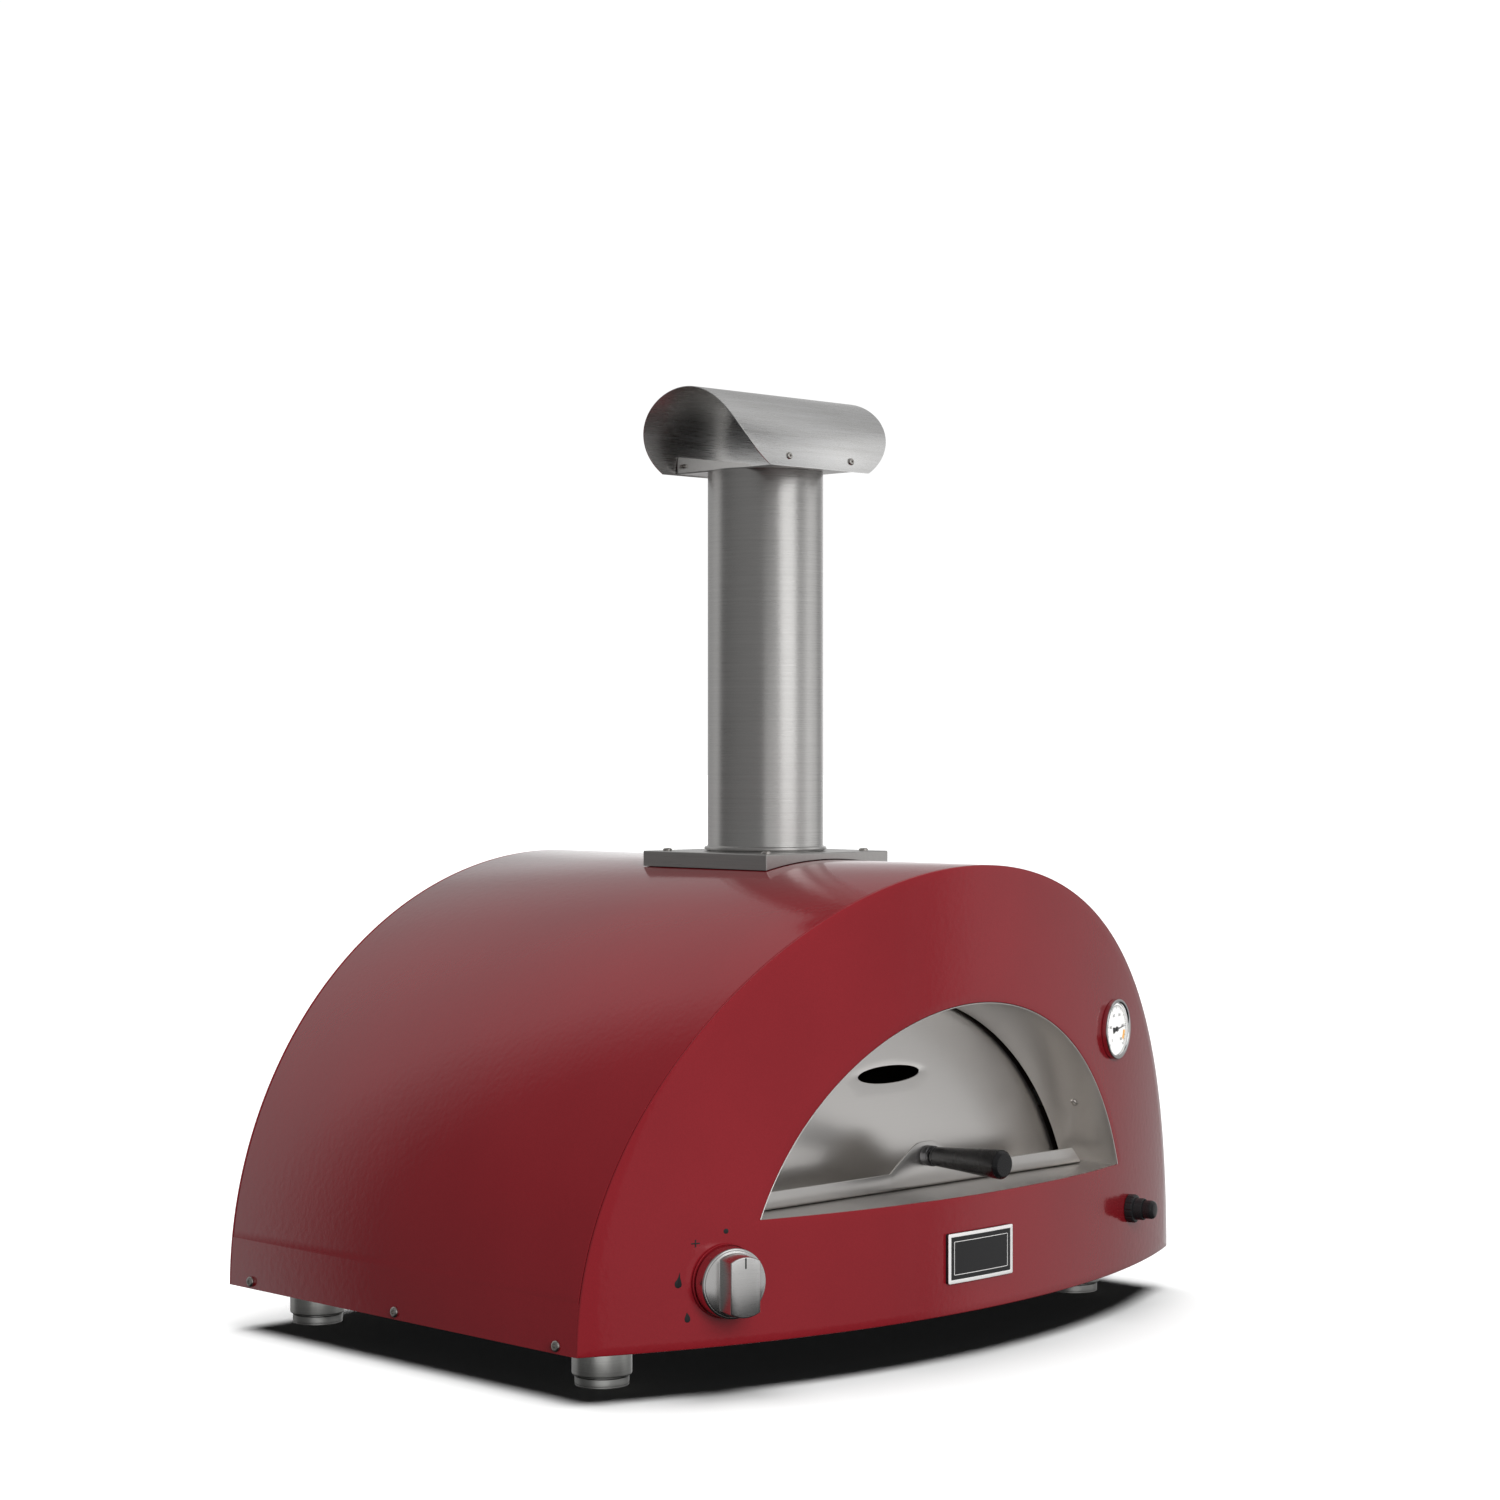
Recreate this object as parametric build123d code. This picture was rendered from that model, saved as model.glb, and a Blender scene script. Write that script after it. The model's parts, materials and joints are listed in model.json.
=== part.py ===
"""Countertop gas pizza oven with an arched steel body, a flue and a lift-out door.

X is to the right, Y to the back and Z up, in millimetres. Inside this file Y = 0 is the
flue's axis; every solid is moved by ORIGIN_SHIFT_Y as it is written, so that the origin
lies on the floor at the middle of the whole oven.
"""
from build123d import *
import math
import os

# ---- driving dimensions ------------------------------------------------------------
SHEET = 1.5                 # body and chamber sheet
FLOOR_CLEAR = 37.2          # underside of the body above the counter
BODY_R = 360.0              # outer radius of the arched body
REAR_Y = 283.3              # outer face of the rear panel
BOW_R = 816.7               # plan radius of the bowed front
BOW_CENTRE_Y = 573.8
SEAM = 0.9                  # open joint between the roof and the end panels
TIGHT = 0.1                 # closed joint under the notch
NOTCH_Z = 77.2              # where the open joint ends
RETURN = 14.0               # depth of the end panels' turned-in edge

MOUTH_R = 234.4             # mouth cut in the front panel
MOUTH_CENTRE_Z = 51.5
HEARTH_Z = 130.8            # top of the threshold
LINER_R = 233.2             # inner radius of the mouth liner
LINER_SHEET = 1.0
LINER_REAR_Y = -149.0
BULKHEAD_Y = -142.4         # front face of the inner front wall
APERTURE_R = 222.0          # opening of the inner front wall

VAULT_R = 300.0             # inner radius of the baking chamber
VAULT_CENTRE_Z = 40.0
VAULT_BACK_Y = 262.0
SUPPORT_Z = 68.0            # underside of the hearth support
INSULATION_TOP_Z = 100.0
TILE_TOP_Z = 130.5
TILE_X = (-200.5, 284.0)
TILE_GAP = 1.0

FLANGE_SIDE = 150.2
FLANGE_TOP_Z = 403.2
FLANGE_SKIRT_Z = 389.1
FLANGE_SCREW = 60.0
FLANGE_SCREW_PLACES = [(x, y) for x in (-FLANGE_SCREW, FLANGE_SCREW)
                       for y in (-FLANGE_SCREW, FLANGE_SCREW)]
THROAT_R = 48.6             # outer radius of the throat and spigot
THROAT_WALL = 1.2
SPIGOT_TOP_Z = 470.0
PIPE_R = 50.0
PIPE_WALL = 1.0
PIPE_BASE_Z = 404.0
PIPE_TOP_Z = 730.0

HOOD_R = 66.0
HOOD_WALL = 1.0
HOOD_AXIS_Z = 731.3
HOOD_EDGE_Z = 729.3
HOOD_RIM = ((60.5, 729.3), (90.5, 762.0), (97.0, 797.4))   # (half length, height)
HOOD_SCREW = (38.0, 738.0)

FOOT_X = 288.8
FOOT_Y = (-107.9, 254.8)
FOOT_R = 23.45
PAD_R = 21.2
PAD_HEIGHT = 7.5

DOOR_R = 232.0
DOOR_FACE_Y = -144.5
DOOR_BASE_Z = 131.1
LIP_Y = -186.0              # front face of the door's lip
LIP_TOP_Z = 145.5
LIP_HALF = (203.0, 190.0)   # half width at the foot and at the top
HILL = ((44.0, 145.5), (26.0, 158.6), (12.5, 167.0), (0.0, 168.5))
SLOT_SIZE = (75.5, 14.3)
SLOT_Z = 220.4

HANDLE_Z = 157.0
HANDLE_END_Y = -270.0

DIAL_X, DIAL_Z, DIAL_R = 211.0, 249.0, 26.0
IGNITER_X, IGNITER_Z = 244.0, 89.4
KNOB_X, KNOB_Z, KNOB_R = -249.5, 87.0, 27.0
KNOB_FACE, KNOB_TOP = 16.5, 34.5
PUSH_TRAVEL = 3.0           # how far the knob goes in before it turns
BADGE_SIZE = (79.0, 40.0)
BADGE_Z = 82.8

SIDE_SCREW_Y = (-135.6, 58.5, 252.6)
SIDE_SCREW_Z = 43.2
REAR_SCREW_ANGLES = (8, 35, 62, 90, 118, 145, 172)
LINER_SCREW = (-187.0, 185.0)   # (y, z) on the liner's side walls

BURNER_X, BURNER_Z, BURNER_R = -228.0, 104.0, 12.0
SUPPLY_X, SUPPLY_Z, GAS_PIPE_R = -240.0, 53.0, 5.0
THREAD_R = 10.48            # G 1/2 male thread
INLET_END_Y = REAR_Y + 22.0

ORIGIN_SHIFT_Y = -(HANDLE_END_Y + INLET_END_Y) / 2
FAR = 2000.0                # larger than the whole oven


# ---- helpers -----------------------------------------------------------------------
def prism(face, front, back):
    """Extrude a face drawn as (x, z) from y = front to y = back."""
    return extrude(Plane.XZ.offset(-back) * face, amount=back - front)


def along_x(face, left, right):
    """Extrude a face drawn as (y, z) from x = left to x = right."""
    return extrude(Plane.YZ.offset(left) * face, amount=right - left)


def arch_face(radius, centre_z, floor_z):
    """Disc of a radius about (0, centre_z), kept above floor_z."""
    above = Pos(0, floor_z + FAR / 2) * Rectangle(FAR, FAR)
    return (Pos(0, centre_z) * Circle(radius)) & above


def arch_band(outer, inner, centre_z, floor_z):
    """Curved strip between two radii, above floor_z."""
    return arch_face(outer, centre_z, floor_z) - arch_face(inner, centre_z, floor_z - 1)


def block(x0, x1, y0, y1, z0, z1):
    """Box between two corners."""
    size = Box(x1 - x0, y1 - y0, z1 - z0)
    return Pos((x0 + x1) / 2, (y0 + y1) / 2, (z0 + z1) / 2) * size


def post(x, y, z0, z1, radius):
    """Upright round bar."""
    return Pos(x, y, (z0 + z1) / 2) * Cylinder(radius, z1 - z0)


def rod_y(x, z, y0, y1, radius):
    """Round bar along Y."""
    return Pos(x, (y0 + y1) / 2, z) * Rot(90, 0, 0) * Cylinder(radius, y1 - y0)


def rod_x(y, z, x0, x1, radius):
    """Round bar along X."""
    return Pos((x0 + x1) / 2, y, z) * Rot(0, 90, 0) * Cylinder(radius, x1 - x0)


def behind_bow(depth):
    """Everything further back than the bowed front, less a depth."""
    return Pos(0, BOW_CENTRE_Y, 0) * Cylinder(BOW_R - depth, FAR)


def bow_layer(shape, near, far):
    """The part of a shape between two depths behind the bowed front."""
    return (shape & behind_bow(near)) - behind_bow(far)


def on_bow(x, z):
    """Place on the bowed front: local Z points out of the oven and local Y up."""
    angle = math.asin(x / BOW_R)
    point = (x, BOW_CENTRE_Y - BOW_R * math.cos(angle), z)
    out = (math.sin(angle), -math.cos(angle), 0)
    return Plane(point, x_dir=(math.cos(angle), math.sin(angle), 0), z_dir=out).location


def disc(radius, low, high):
    """Round bar on local Z."""
    return Pos(0, 0, (low + high) / 2) * Cylinder(radius, high - low)


def ring(outer, inner, low, high):
    """Tube on local Z."""
    return disc(outer, low, high) - disc(inner, low - 1, high + 1)


def button_screw(head_r, head_h, shank_r, length):
    """Dome-headed screw whose head stands on local Z = 0, with a hexagon socket."""
    head = fillet(disc(head_r, 0, head_h).edges().sort_by(Axis.Z)[-1], head_h * 0.7)
    socket = extrude(Pos(0, 0, head_h * 0.45) * RegularPolygon(head_r * 0.42, 6), head_h)
    return head + disc(shank_r, -length, 0) - socket


def tube_along(points, bends, radius):
    """Round pipe along straight runs joined by arcs."""
    path = FilletPolyline(*points, radius=bends)
    return sweep(Plane(path @ 0, z_dir=path % 0) * Circle(radius), path=path)


def save(name, *solids):
    """Write one node."""
    placed = [Pos(0, ORIGIN_SHIFT_Y, 0) * solid for solid in solids]
    shape = placed[0] if len(placed) == 1 else Compound(children=placed)
    export_step(shape, f"parts/{name}.step")


os.makedirs("parts", exist_ok=True)
DIAL = on_bow(DIAL_X, DIAL_Z)
KNOB = on_bow(KNOB_X, KNOB_Z)
IGNITER = on_bow(IGNITER_X, IGNITER_Z)


# ---- body shell --------------------------------------------------------------------
def roof_shell():
    """Arched sheet that makes the two sides and the top in one piece."""
    band = arch_band(BODY_R, BODY_R - SHEET, FLOOR_CLEAR, FLOOR_CLEAR)
    upper = arch_band(BODY_R, BODY_R - SHEET, FLOOR_CLEAR, NOTCH_Z)
    shell = prism(upper, -300, REAR_Y - SHEET - SEAM) & behind_bow(SHEET + SEAM)
    skirt = prism(band - upper, -300, REAR_Y - SHEET - TIGHT) & behind_bow(SHEET + TIGHT)
    shell = shell + skirt - post(0, 0, 300, 420, THROAT_R + 3.4)
    for y in SIDE_SCREW_Y:
        shell -= rod_x(y, SIDE_SCREW_Z, -365, 365, 2.3)
    for x, y in FLANGE_SCREW_PLACES:
        shell -= post(x, y, 380, 420, 2.3)
    return shell


def end_edge():
    """Turned-in edge of an end panel, just inside the roof sheet."""
    return arch_band(BODY_R - SHEET - 0.2, BODY_R - 2 * SHEET - 0.2, FLOOR_CLEAR, NOTCH_Z)


def front_panel():
    """Bowed front with the mouth and the holes for the controls."""
    outline = prism(arch_face(BODY_R, FLOOR_CLEAR, FLOOR_CLEAR), -300, 0)
    panel = bow_layer(outline, 0, SHEET)
    edge = prism(end_edge(), -300, 0)
    panel += bow_layer(edge, SHEET, SHEET + RETURN)
    panel -= prism(arch_face(MOUTH_R, MOUTH_CENTRE_Z, HEARTH_Z), -300, -200)
    panel -= DIAL * disc(DIAL_R - 2.0, -10, 10)
    panel -= KNOB * disc(6.0, -10, 10)
    panel -= IGNITER * disc(9.7, -10, 10)
    return panel


def rear_panel():
    """Flat back with vent slots, the gas inlet's hole and screw holes."""
    panel = prism(arch_face(BODY_R, FLOOR_CLEAR, FLOOR_CLEAR), REAR_Y - SHEET, REAR_Y)
    panel += prism(end_edge(), REAR_Y - SHEET - RETURN, REAR_Y - SHEET)
    slot = SlotOverall(34, 6)
    for column in range(7):
        for row in range(2):
            panel -= prism(Pos(48 * (column - 3), 55 + 16 * row) * slot, REAR_Y - 5, REAR_Y + 5)
    panel -= rod_y(SUPPLY_X, SUPPLY_Z, REAR_Y - 5, REAR_Y + 5, THREAD_R + 0.2)
    for angle in REAR_SCREW_ANGLES:
        x, z = rear_screw_place(angle)
        panel -= rod_y(x, z, REAR_Y - 5, REAR_Y + 5, 2.3)
    return panel


def rear_screw_place(angle):
    """Centre of one rear screw, by its angle round the arch."""
    reach = BODY_R - 9
    turn = math.radians(angle)
    return reach * math.cos(turn), FLOOR_CLEAR + reach * math.sin(turn)


def base_pan():
    """Bottom tray with turned-up sides that take the side screws."""
    low = FLOOR_CLEAR + 0.5
    wall = BODY_R - 2 * SHEET - 0.1
    pan = block(-wall, wall, -300, REAR_Y - SHEET - 0.2, low, low + SHEET)
    for x0, x1 in ((-wall, SHEET - wall), (wall - SHEET, wall)):
        pan += block(x0, x1, -156, REAR_Y - SHEET - 0.2, low, low + 26)
    pan &= behind_bow(SHEET + 0.2)
    for y in SIDE_SCREW_Y:
        pan -= rod_x(y, SIDE_SCREW_Z, -365, 365, 2.3)
    for x in (-FOOT_X, FOOT_X):
        for y in FOOT_Y:
            pan -= post(x, y, low - 1, low + 3, 4.3)
    for row in range(6):
        vent = Pos(-110 + 44 * row, 60, low) * Box(28, 120, 10)
        pan -= fillet(vent.edges().filter_by(Axis.Z), 6)
    return pan


save("roof_shell", roof_shell())
save("front_panel", front_panel())
save("rear_panel", rear_panel())
save("base_pan", base_pan())
save("side_screws", *[
    Pos(side * BODY_R, y, SIDE_SCREW_Z) * Rot(0, 90 * side, 0)
    * button_screw(4.35, 2.3, 2.0, 9)
    for side in (-1, 1) for y in SIDE_SCREW_Y])
save("rear_screws", *[
    Pos(x, REAR_Y, z) * Rot(-90, 0, 0) * button_screw(3.6, 1.9, 2.0, 8)
    for x, z in map(rear_screw_place, REAR_SCREW_ANGLES)])


# ---- feet --------------------------------------------------------------------------
def foot_leg():
    leg = disc(FOOT_R, PAD_HEIGHT + 1.2, FLOOR_CLEAR + 0.5)
    leg = chamfer(leg.edges().filter_by(GeomType.CIRCLE).sort_by(Axis.Z)[0], 0.8)
    return leg - disc(4.3, 0, 60)


def foot_pad():
    pad = disc(PAD_R, 0, PAD_HEIGHT) + disc(18.5, PAD_HEIGHT, PAD_HEIGHT + 1.2)
    pad = chamfer(pad.edges().filter_by(GeomType.CIRCLE).sort_by(Axis.Z)[0], 0.8)
    return pad - disc(7.2, -1, 4.5) - disc(4.3, 0, 20)


def foot_bolt():
    head = disc(6.5, 0.8, 4.5) - extrude(RegularPolygon(3.2, 6), 3)
    nut = extrude(Pos(0, 0, FLOOR_CLEAR + 2.0) * RegularPolygon(7.0, 6), 6)
    return head + disc(4.0, 4.5, FLOOR_CLEAR + 11) + (nut - disc(4.0, 30, 60))


FEET = [Pos(x, y, 0) for x in (-FOOT_X, FOOT_X) for y in FOOT_Y]
save("foot_legs", *[place * foot_leg() for place in FEET])
save("foot_pads", *[place * foot_pad() for place in FEET])
save("foot_bolts", *[place * foot_bolt() for place in FEET])


# ---- baking chamber ----------------------------------------------------------------
def bulkhead():
    """Inner front wall with the chamber's opening and the feed-through holes."""
    wall = prism(arch_face(BODY_R - 5, FLOOR_CLEAR, FLOOR_CLEAR + 2.5),
                 BULKHEAD_Y, BULKHEAD_Y + SHEET)
    wall -= prism(arch_face(APERTURE_R, MOUTH_CENTRE_Z, HEARTH_Z), -200, -100)
    for x, z, radius in ((SUPPLY_X, SUPPLY_Z, 7), (-229.6, KNOB_Z, 7.5), (-209.5, 118, 3.2)):
        wall -= rod_y(x, z, -200, -100, radius)
    return wall - DIAL * disc(5.0, -120, -40)


def chamber_vault():
    band = arch_band(VAULT_R + SHEET, VAULT_R, VAULT_CENTRE_Z, SUPPORT_Z + SHEET)
    vault = prism(band, BULKHEAD_Y + SHEET, VAULT_BACK_Y)
    return vault - post(0, 0, 300, 360, THROAT_R + 0.3)


def chamber_back_wall():
    face = arch_face(VAULT_R + SHEET, VAULT_CENTRE_Z, SUPPORT_Z + SHEET)
    return prism(face, VAULT_BACK_Y, VAULT_BACK_Y + SHEET)


def hearth_support():
    """Inverted tray that carries the hearth, with feet on the base pan."""
    front, back = BULKHEAD_Y + SHEET, REAR_Y - SHEET - 0.5
    base = FLOOR_CLEAR + 0.5 + SHEET
    tray = block(-312, 312, front, back, SUPPORT_Z, SUPPORT_Z + SHEET)
    for side in (-1, 1):
        inner, outer = sorted((side * (312 - SHEET), side * 312))
        tray += block(inner, outer, front, back, base, SUPPORT_Z)
        toe = sorted((side * 312, side * 328))
        tray += block(*toe, front, back, base, base + SHEET)
    for x in (-FOOT_X, FOOT_X):
        tray -= post(x, FOOT_Y[1], base - 1, base + 12, 9)
    return tray


def vault_blanket():
    """Ceramic fibre wrapped over the vault."""
    outer = arch_face(BODY_R - 4, FLOOR_CLEAR, 72)
    inner = arch_face(VAULT_R + SHEET, VAULT_CENTRE_Z, 0)
    blanket = prism(outer - inner, BULKHEAD_Y + SHEET, REAR_Y - SHEET - RETURN - 2)
    return blanket - post(0, 0, 300, 420, THROAT_R + 0.3)


def hearth_tiles():
    """Four refractory tiles, two by two."""
    front, back = BULKHEAD_Y + SHEET + 0.5, VAULT_BACK_Y - 0.5
    width = (TILE_X[1] - TILE_X[0] - TILE_GAP) / 2
    depth = (back - front - TILE_GAP) / 2
    tiles = []
    for column in range(2):
        for row in range(2):
            x0 = TILE_X[0] + column * (width + TILE_GAP)
            y0 = front + row * (depth + TILE_GAP)
            tile = block(x0, x0 + width, y0, y0 + depth, INSULATION_TOP_Z, TILE_TOP_Z)
            tiles.append(chamfer(tile.edges().group_by(Axis.Z)[-1], 1.2))
    return tiles


def insulation_board():
    return block(TILE_X[0], 290, BULKHEAD_Y + SHEET + 0.5, VAULT_BACK_Y - 0.5,
                 SUPPORT_Z + SHEET, INSULATION_TOP_Z)


save("bulkhead", bulkhead())
save("chamber_vault", chamber_vault())
save("chamber_back_wall", chamber_back_wall())
save("hearth_support", hearth_support())
save("vault_blanket", vault_blanket())
save("rear_blanket", prism(arch_face(VAULT_R - 4, VAULT_CENTRE_Z, 72),
                           VAULT_BACK_Y + SHEET, REAR_Y - SHEET - 0.5))
save("insulation_board", insulation_board())
save("hearth_tiles", *hearth_tiles())


# ---- mouth -------------------------------------------------------------------------
def mouth_liner():
    """Steel lining of the mouth, from the bowed front back to the bulkhead."""
    band = arch_band(LINER_R + LINER_SHEET, LINER_R, MOUTH_CENTRE_Z, HEARTH_Z)
    liner = prism(band, -300, LINER_REAR_Y) & behind_bow(0.25)
    for place in LINER_SCREW_PLACES:
        liner -= place * disc(1.7, -8, 8)
    return liner


def threshold_plate():
    """Flat sill of the mouth, with a turned-down front edge behind the panel."""
    half = math.sqrt(LINER_R ** 2 - (HEARTH_Z - MOUTH_CENTRE_Z) ** 2) + 12
    sill = block(-half, half, -300, BULKHEAD_Y, HEARTH_Z - 1.2, HEARTH_Z)
    nose = block(-half, half, -300, BULKHEAD_Y, HEARTH_Z - 14, HEARTH_Z - 1.2)
    sill = sill & behind_bow(SHEET + 0.2)
    sill += bow_layer(nose, SHEET + 0.2, SHEET + 1.4)
    liner_seat = prism(arch_band(MOUTH_R + 40, LINER_R, MOUTH_CENTRE_Z, HEARTH_Z - 0.01), -300, 0)
    return sill - liner_seat


def liner_screw_place(side):
    """Place on the liner's inner face: local Z points into the mouth, local X along Y."""
    y, z = LINER_SCREW
    half = math.sqrt(LINER_R ** 2 - (z - MOUTH_CENTRE_Z) ** 2)
    into_mouth = (-side * half, 0, MOUTH_CENTRE_Z - z)
    return Plane((side * half, y, z), x_dir=(0, 1, 0), z_dir=into_mouth).location


LINER_SCREW_PLACES = [liner_screw_place(side) for side in (-1, 1)]


def liner_bracket():
    """Angle on the bulkhead behind a liner screw, in the screw's own frame."""
    y = LINER_SCREW[0]
    reach = BULKHEAD_Y - y
    arm = block(-8, reach, -9, 9, -2.9, -1.4)
    foot = block(reach - SHEET, reach, -9, 9, -20, -1.4)
    return arm + foot - disc(1.8, -10, 0)


save("mouth_liner", mouth_liner())
save("threshold_plate", threshold_plate())
save("liner_brackets", *[place * liner_bracket() for place in LINER_SCREW_PLACES])
save("liner_screws", *[place * Pos(0, 0, 0.05) * button_screw(3.4, 1.7, 1.6, 9)
                       for place in LINER_SCREW_PLACES])


# ---- flue --------------------------------------------------------------------------
def flue_flange():
    """Square cap on the roof whose skirts follow the arch."""
    half = FLANGE_SIDE / 2
    cap = block(-half, half, -half, half, FLANGE_SKIRT_Z, FLANGE_TOP_Z)
    cap = fillet(cap.edges().filter_by(Axis.Z), 1.2)
    cap = fillet(cap.edges().group_by(Axis.Z)[-1], 1.0)
    cap -= block(2 - half, half - 2, 2 - half, half - 2, 300, FLANGE_TOP_Z - 2)
    cap -= rod_y(0, FLOOR_CLEAR, -200, 200, BODY_R + 0.8)
    cap -= post(0, 0, 380, 420, THROAT_R + 0.2)
    for x, y in FLANGE_SCREW_PLACES:
        cap -= post(x, y, 380, 420, 2.3)
    return cap


def flue_pipe():
    """Outer flue with a rolled bead at its foot."""
    bead = disc(PIPE_R + 3, PIPE_BASE_Z, PIPE_BASE_Z + 3.2)
    bead = fillet(bead.edges().filter_by(GeomType.CIRCLE), 1.4)
    pipe = disc(PIPE_R, PIPE_BASE_Z, PIPE_TOP_Z) + bead
    return pipe - disc(PIPE_R - PIPE_WALL, 0, FAR)


def hood_screw_place(x, side):
    """Place on the cowl's outer face: local Z points outwards."""
    z = HOOD_SCREW[1]
    reach = math.sqrt(HOOD_R ** 2 - (z - HOOD_AXIS_Z) ** 2)
    outwards = (0, side * reach, z - HOOD_AXIS_Z)
    return Plane((x, side * reach, z), x_dir=(1, 0, 0), z_dir=outwards).location


HOOD_SCREW_PLACES = [hood_screw_place(x, side) for x in (-HOOD_SCREW[0], HOOD_SCREW[0])
                     for side in (-1, 1)]


def hood():
    """Half-round cowl across the flue, cut back towards its lower edges."""
    ring_face = Circle(HOOD_R) - Circle(HOOD_R - HOOD_WALL)
    upper = ring_face & (Pos(0, 200) * Rectangle(400, 400))
    section = Pos(0, HOOD_AXIS_Z) * upper
    for side in (-1, 1):
        section += Pos(side * (HOOD_R - HOOD_WALL / 2), (HOOD_AXIS_Z + HOOD_EDGE_Z) / 2) \
            * Rectangle(HOOD_WALL, HOOD_AXIS_Z - HOOD_EDGE_Z)
    shell = along_x(section, -120, 120)
    low, middle, high = HOOD_RIM
    left = [(-x, z) for x, z in HOOD_RIM]
    top = HOOD_AXIS_Z + HOOD_R + 5
    outline = make_face([
        ThreePointArc(low, middle, high), Line(high, (high[0], top)),
        Line((high[0], top), (-high[0], top)), Line((-high[0], top), left[2]),
        ThreePointArc(*reversed(left)), Line(left[0], (left[0][0], low[1] - 5)),
        Line((left[0][0], low[1] - 5), (low[0], low[1] - 5)), Line((low[0], low[1] - 5), low)])
    shell &= prism(outline, -100, 100)
    for place in HOOD_SCREW_PLACES:
        shell -= place * disc(1.9, -8, 8)
    return shell


def hood_bracket():
    """Plate that closes the cowl's underside and seats in the pipe."""
    wall = HOOD_R - HOOD_WALL - 1.6
    plate = block(-45, 45, -wall, wall, PIPE_TOP_Z, PIPE_TOP_Z + 1.2)
    for side in (-1, 1):
        low, high = sorted((side * wall, side * (wall - 1.2)))
        plate += block(-45, 45, low, high, PIPE_TOP_Z, PIPE_TOP_Z + 15)
    plate += disc(PIPE_R - PIPE_WALL - 0.1, PIPE_TOP_Z - 14, PIPE_TOP_Z + 1.2)
    plate -= disc(PIPE_R - PIPE_WALL - 1.3, 600, 800)
    for place in HOOD_SCREW_PLACES:
        plate -= place * disc(1.9, -8, 8)
    return plate


save("flue_flange", flue_flange())
save("flue_throat", ring(THROAT_R, THROAT_R - THROAT_WALL, 336.5, SPIGOT_TOP_Z))
save("flange_screws", *[Pos(x, y, FLANGE_TOP_Z) * button_screw(4.0, 2.2, 2.0, 11)
                        for x, y in FLANGE_SCREW_PLACES])
save("flue_pipe", flue_pipe())
save("hood", hood())
save("hood_bracket", hood_bracket())
save("hood_screws", *[place * Pos(0, 0, 0.08) * button_screw(3.0, 1.6, 1.7, 7)
                      for place in HOOD_SCREW_PLACES])


# ---- door --------------------------------------------------------------------------
def door_panel():
    """Bent sheet: upright panel, shelf on the sill and a low lip with a raised middle."""
    panel = prism(arch_face(DOOR_R, MOUTH_CENTRE_Z, DOOR_BASE_Z), DOOR_FACE_Y, DOOR_FACE_Y + SHEET)
    slot = Pos(0, SLOT_Z) * Ellipse(SLOT_SIZE[0] / 2, SLOT_SIZE[1] / 2)
    panel -= prism(slot, -200, -100)
    foot, top = LIP_HALF
    shelf = block(-foot, foot, LIP_Y, DOOR_FACE_Y, DOOR_BASE_Z, DOOR_BASE_Z + SHEET)
    right = [(x, z) for x, z in HILL]
    left = [(-x, z) for x, z in reversed(HILL)]
    crest = Spline(*(right + left[1:]), tangents=((-1, 0.12), (-1, -0.12)))
    outline = make_face([
        Line((-foot, DOOR_BASE_Z), (foot, DOOR_BASE_Z)), Line((foot, DOOR_BASE_Z), (top, LIP_TOP_Z)),
        Line((top, LIP_TOP_Z), right[0]), crest,
        Line(left[-1], (-top, LIP_TOP_Z)), Line((-top, LIP_TOP_Z), (-foot, DOOR_BASE_Z))])
    lip = prism(outline, LIP_Y, LIP_Y + SHEET)
    return panel + shelf + lip - rod_y(0, HANDLE_Z, -200, -170, 3.1)


def handle_grip():
    """Turned black grip, thicker towards its free end."""
    start = LIP_Y - 9.5
    length = start - HANDLE_END_Y
    profile = make_face([
        Line((0, 0), (6.9, 0)), ThreePointArc((6.9, 0), (7.6, 0.3), (7.9, 1)),
        Spline((7.9, 1), (9.2, length * 0.35), (11.2, length * 0.75), (11.8, length - 4)),
        ThreePointArc((11.8, length - 4), (10.7, length - 1.1), (8, length)),
        Line((8, length), (0, length)), Line((0, length), (0, 0))])
    grip = revolve(Plane.XZ * profile, Axis.Z)
    grip -= disc(3.05, -1, 40)
    return Pos(0, start, HANDLE_Z) * Rot(90, 0, 0) * grip


def handle_ferrule():
    """Steel collar between the lip and the grip."""
    collar = fillet(disc(8.5, 0, 9.4).edges().filter_by(GeomType.CIRCLE), 0.8) - disc(3.1, -1, 20)
    return Pos(0, LIP_Y - 0.05, HANDLE_Z) * Rot(90, 0, 0) * collar


def handle_bolt():
    """Bolt through the lip into the grip."""
    return Pos(0, LIP_Y + SHEET, HANDLE_Z) * Rot(-90, 0, 0) * button_screw(5.2, 3.0, 3.0, 46)


save("door_panel", door_panel())
save("handle_grip", handle_grip())
save("handle_ferrule", handle_ferrule())
save("handle_bolt", handle_bolt())


# ---- thermometer -------------------------------------------------------------------
def thermometer_bezel():
    rim = ring(DIAL_R, DIAL_R - 3.2, 0.8, 6.0)
    rim = fillet(rim.edges().group_by(Axis.Z)[-1], 1.3)
    return rim + ring(DIAL_R - 0.4, DIAL_R - 2.5, 0.2, 0.8)


def thermometer_case():
    """Cup behind the dial with a nut that clamps it to the panel."""
    cup = disc(DIAL_R - 2.6, -13, 0.7) - disc(DIAL_R - 3.6, -12, 2)
    cup += disc(6.5, -24, -13) + extrude(Pos(0, 0, -20) * RegularPolygon(10, 6), 6)
    return cup - disc(3.05, -30, -18)


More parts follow.
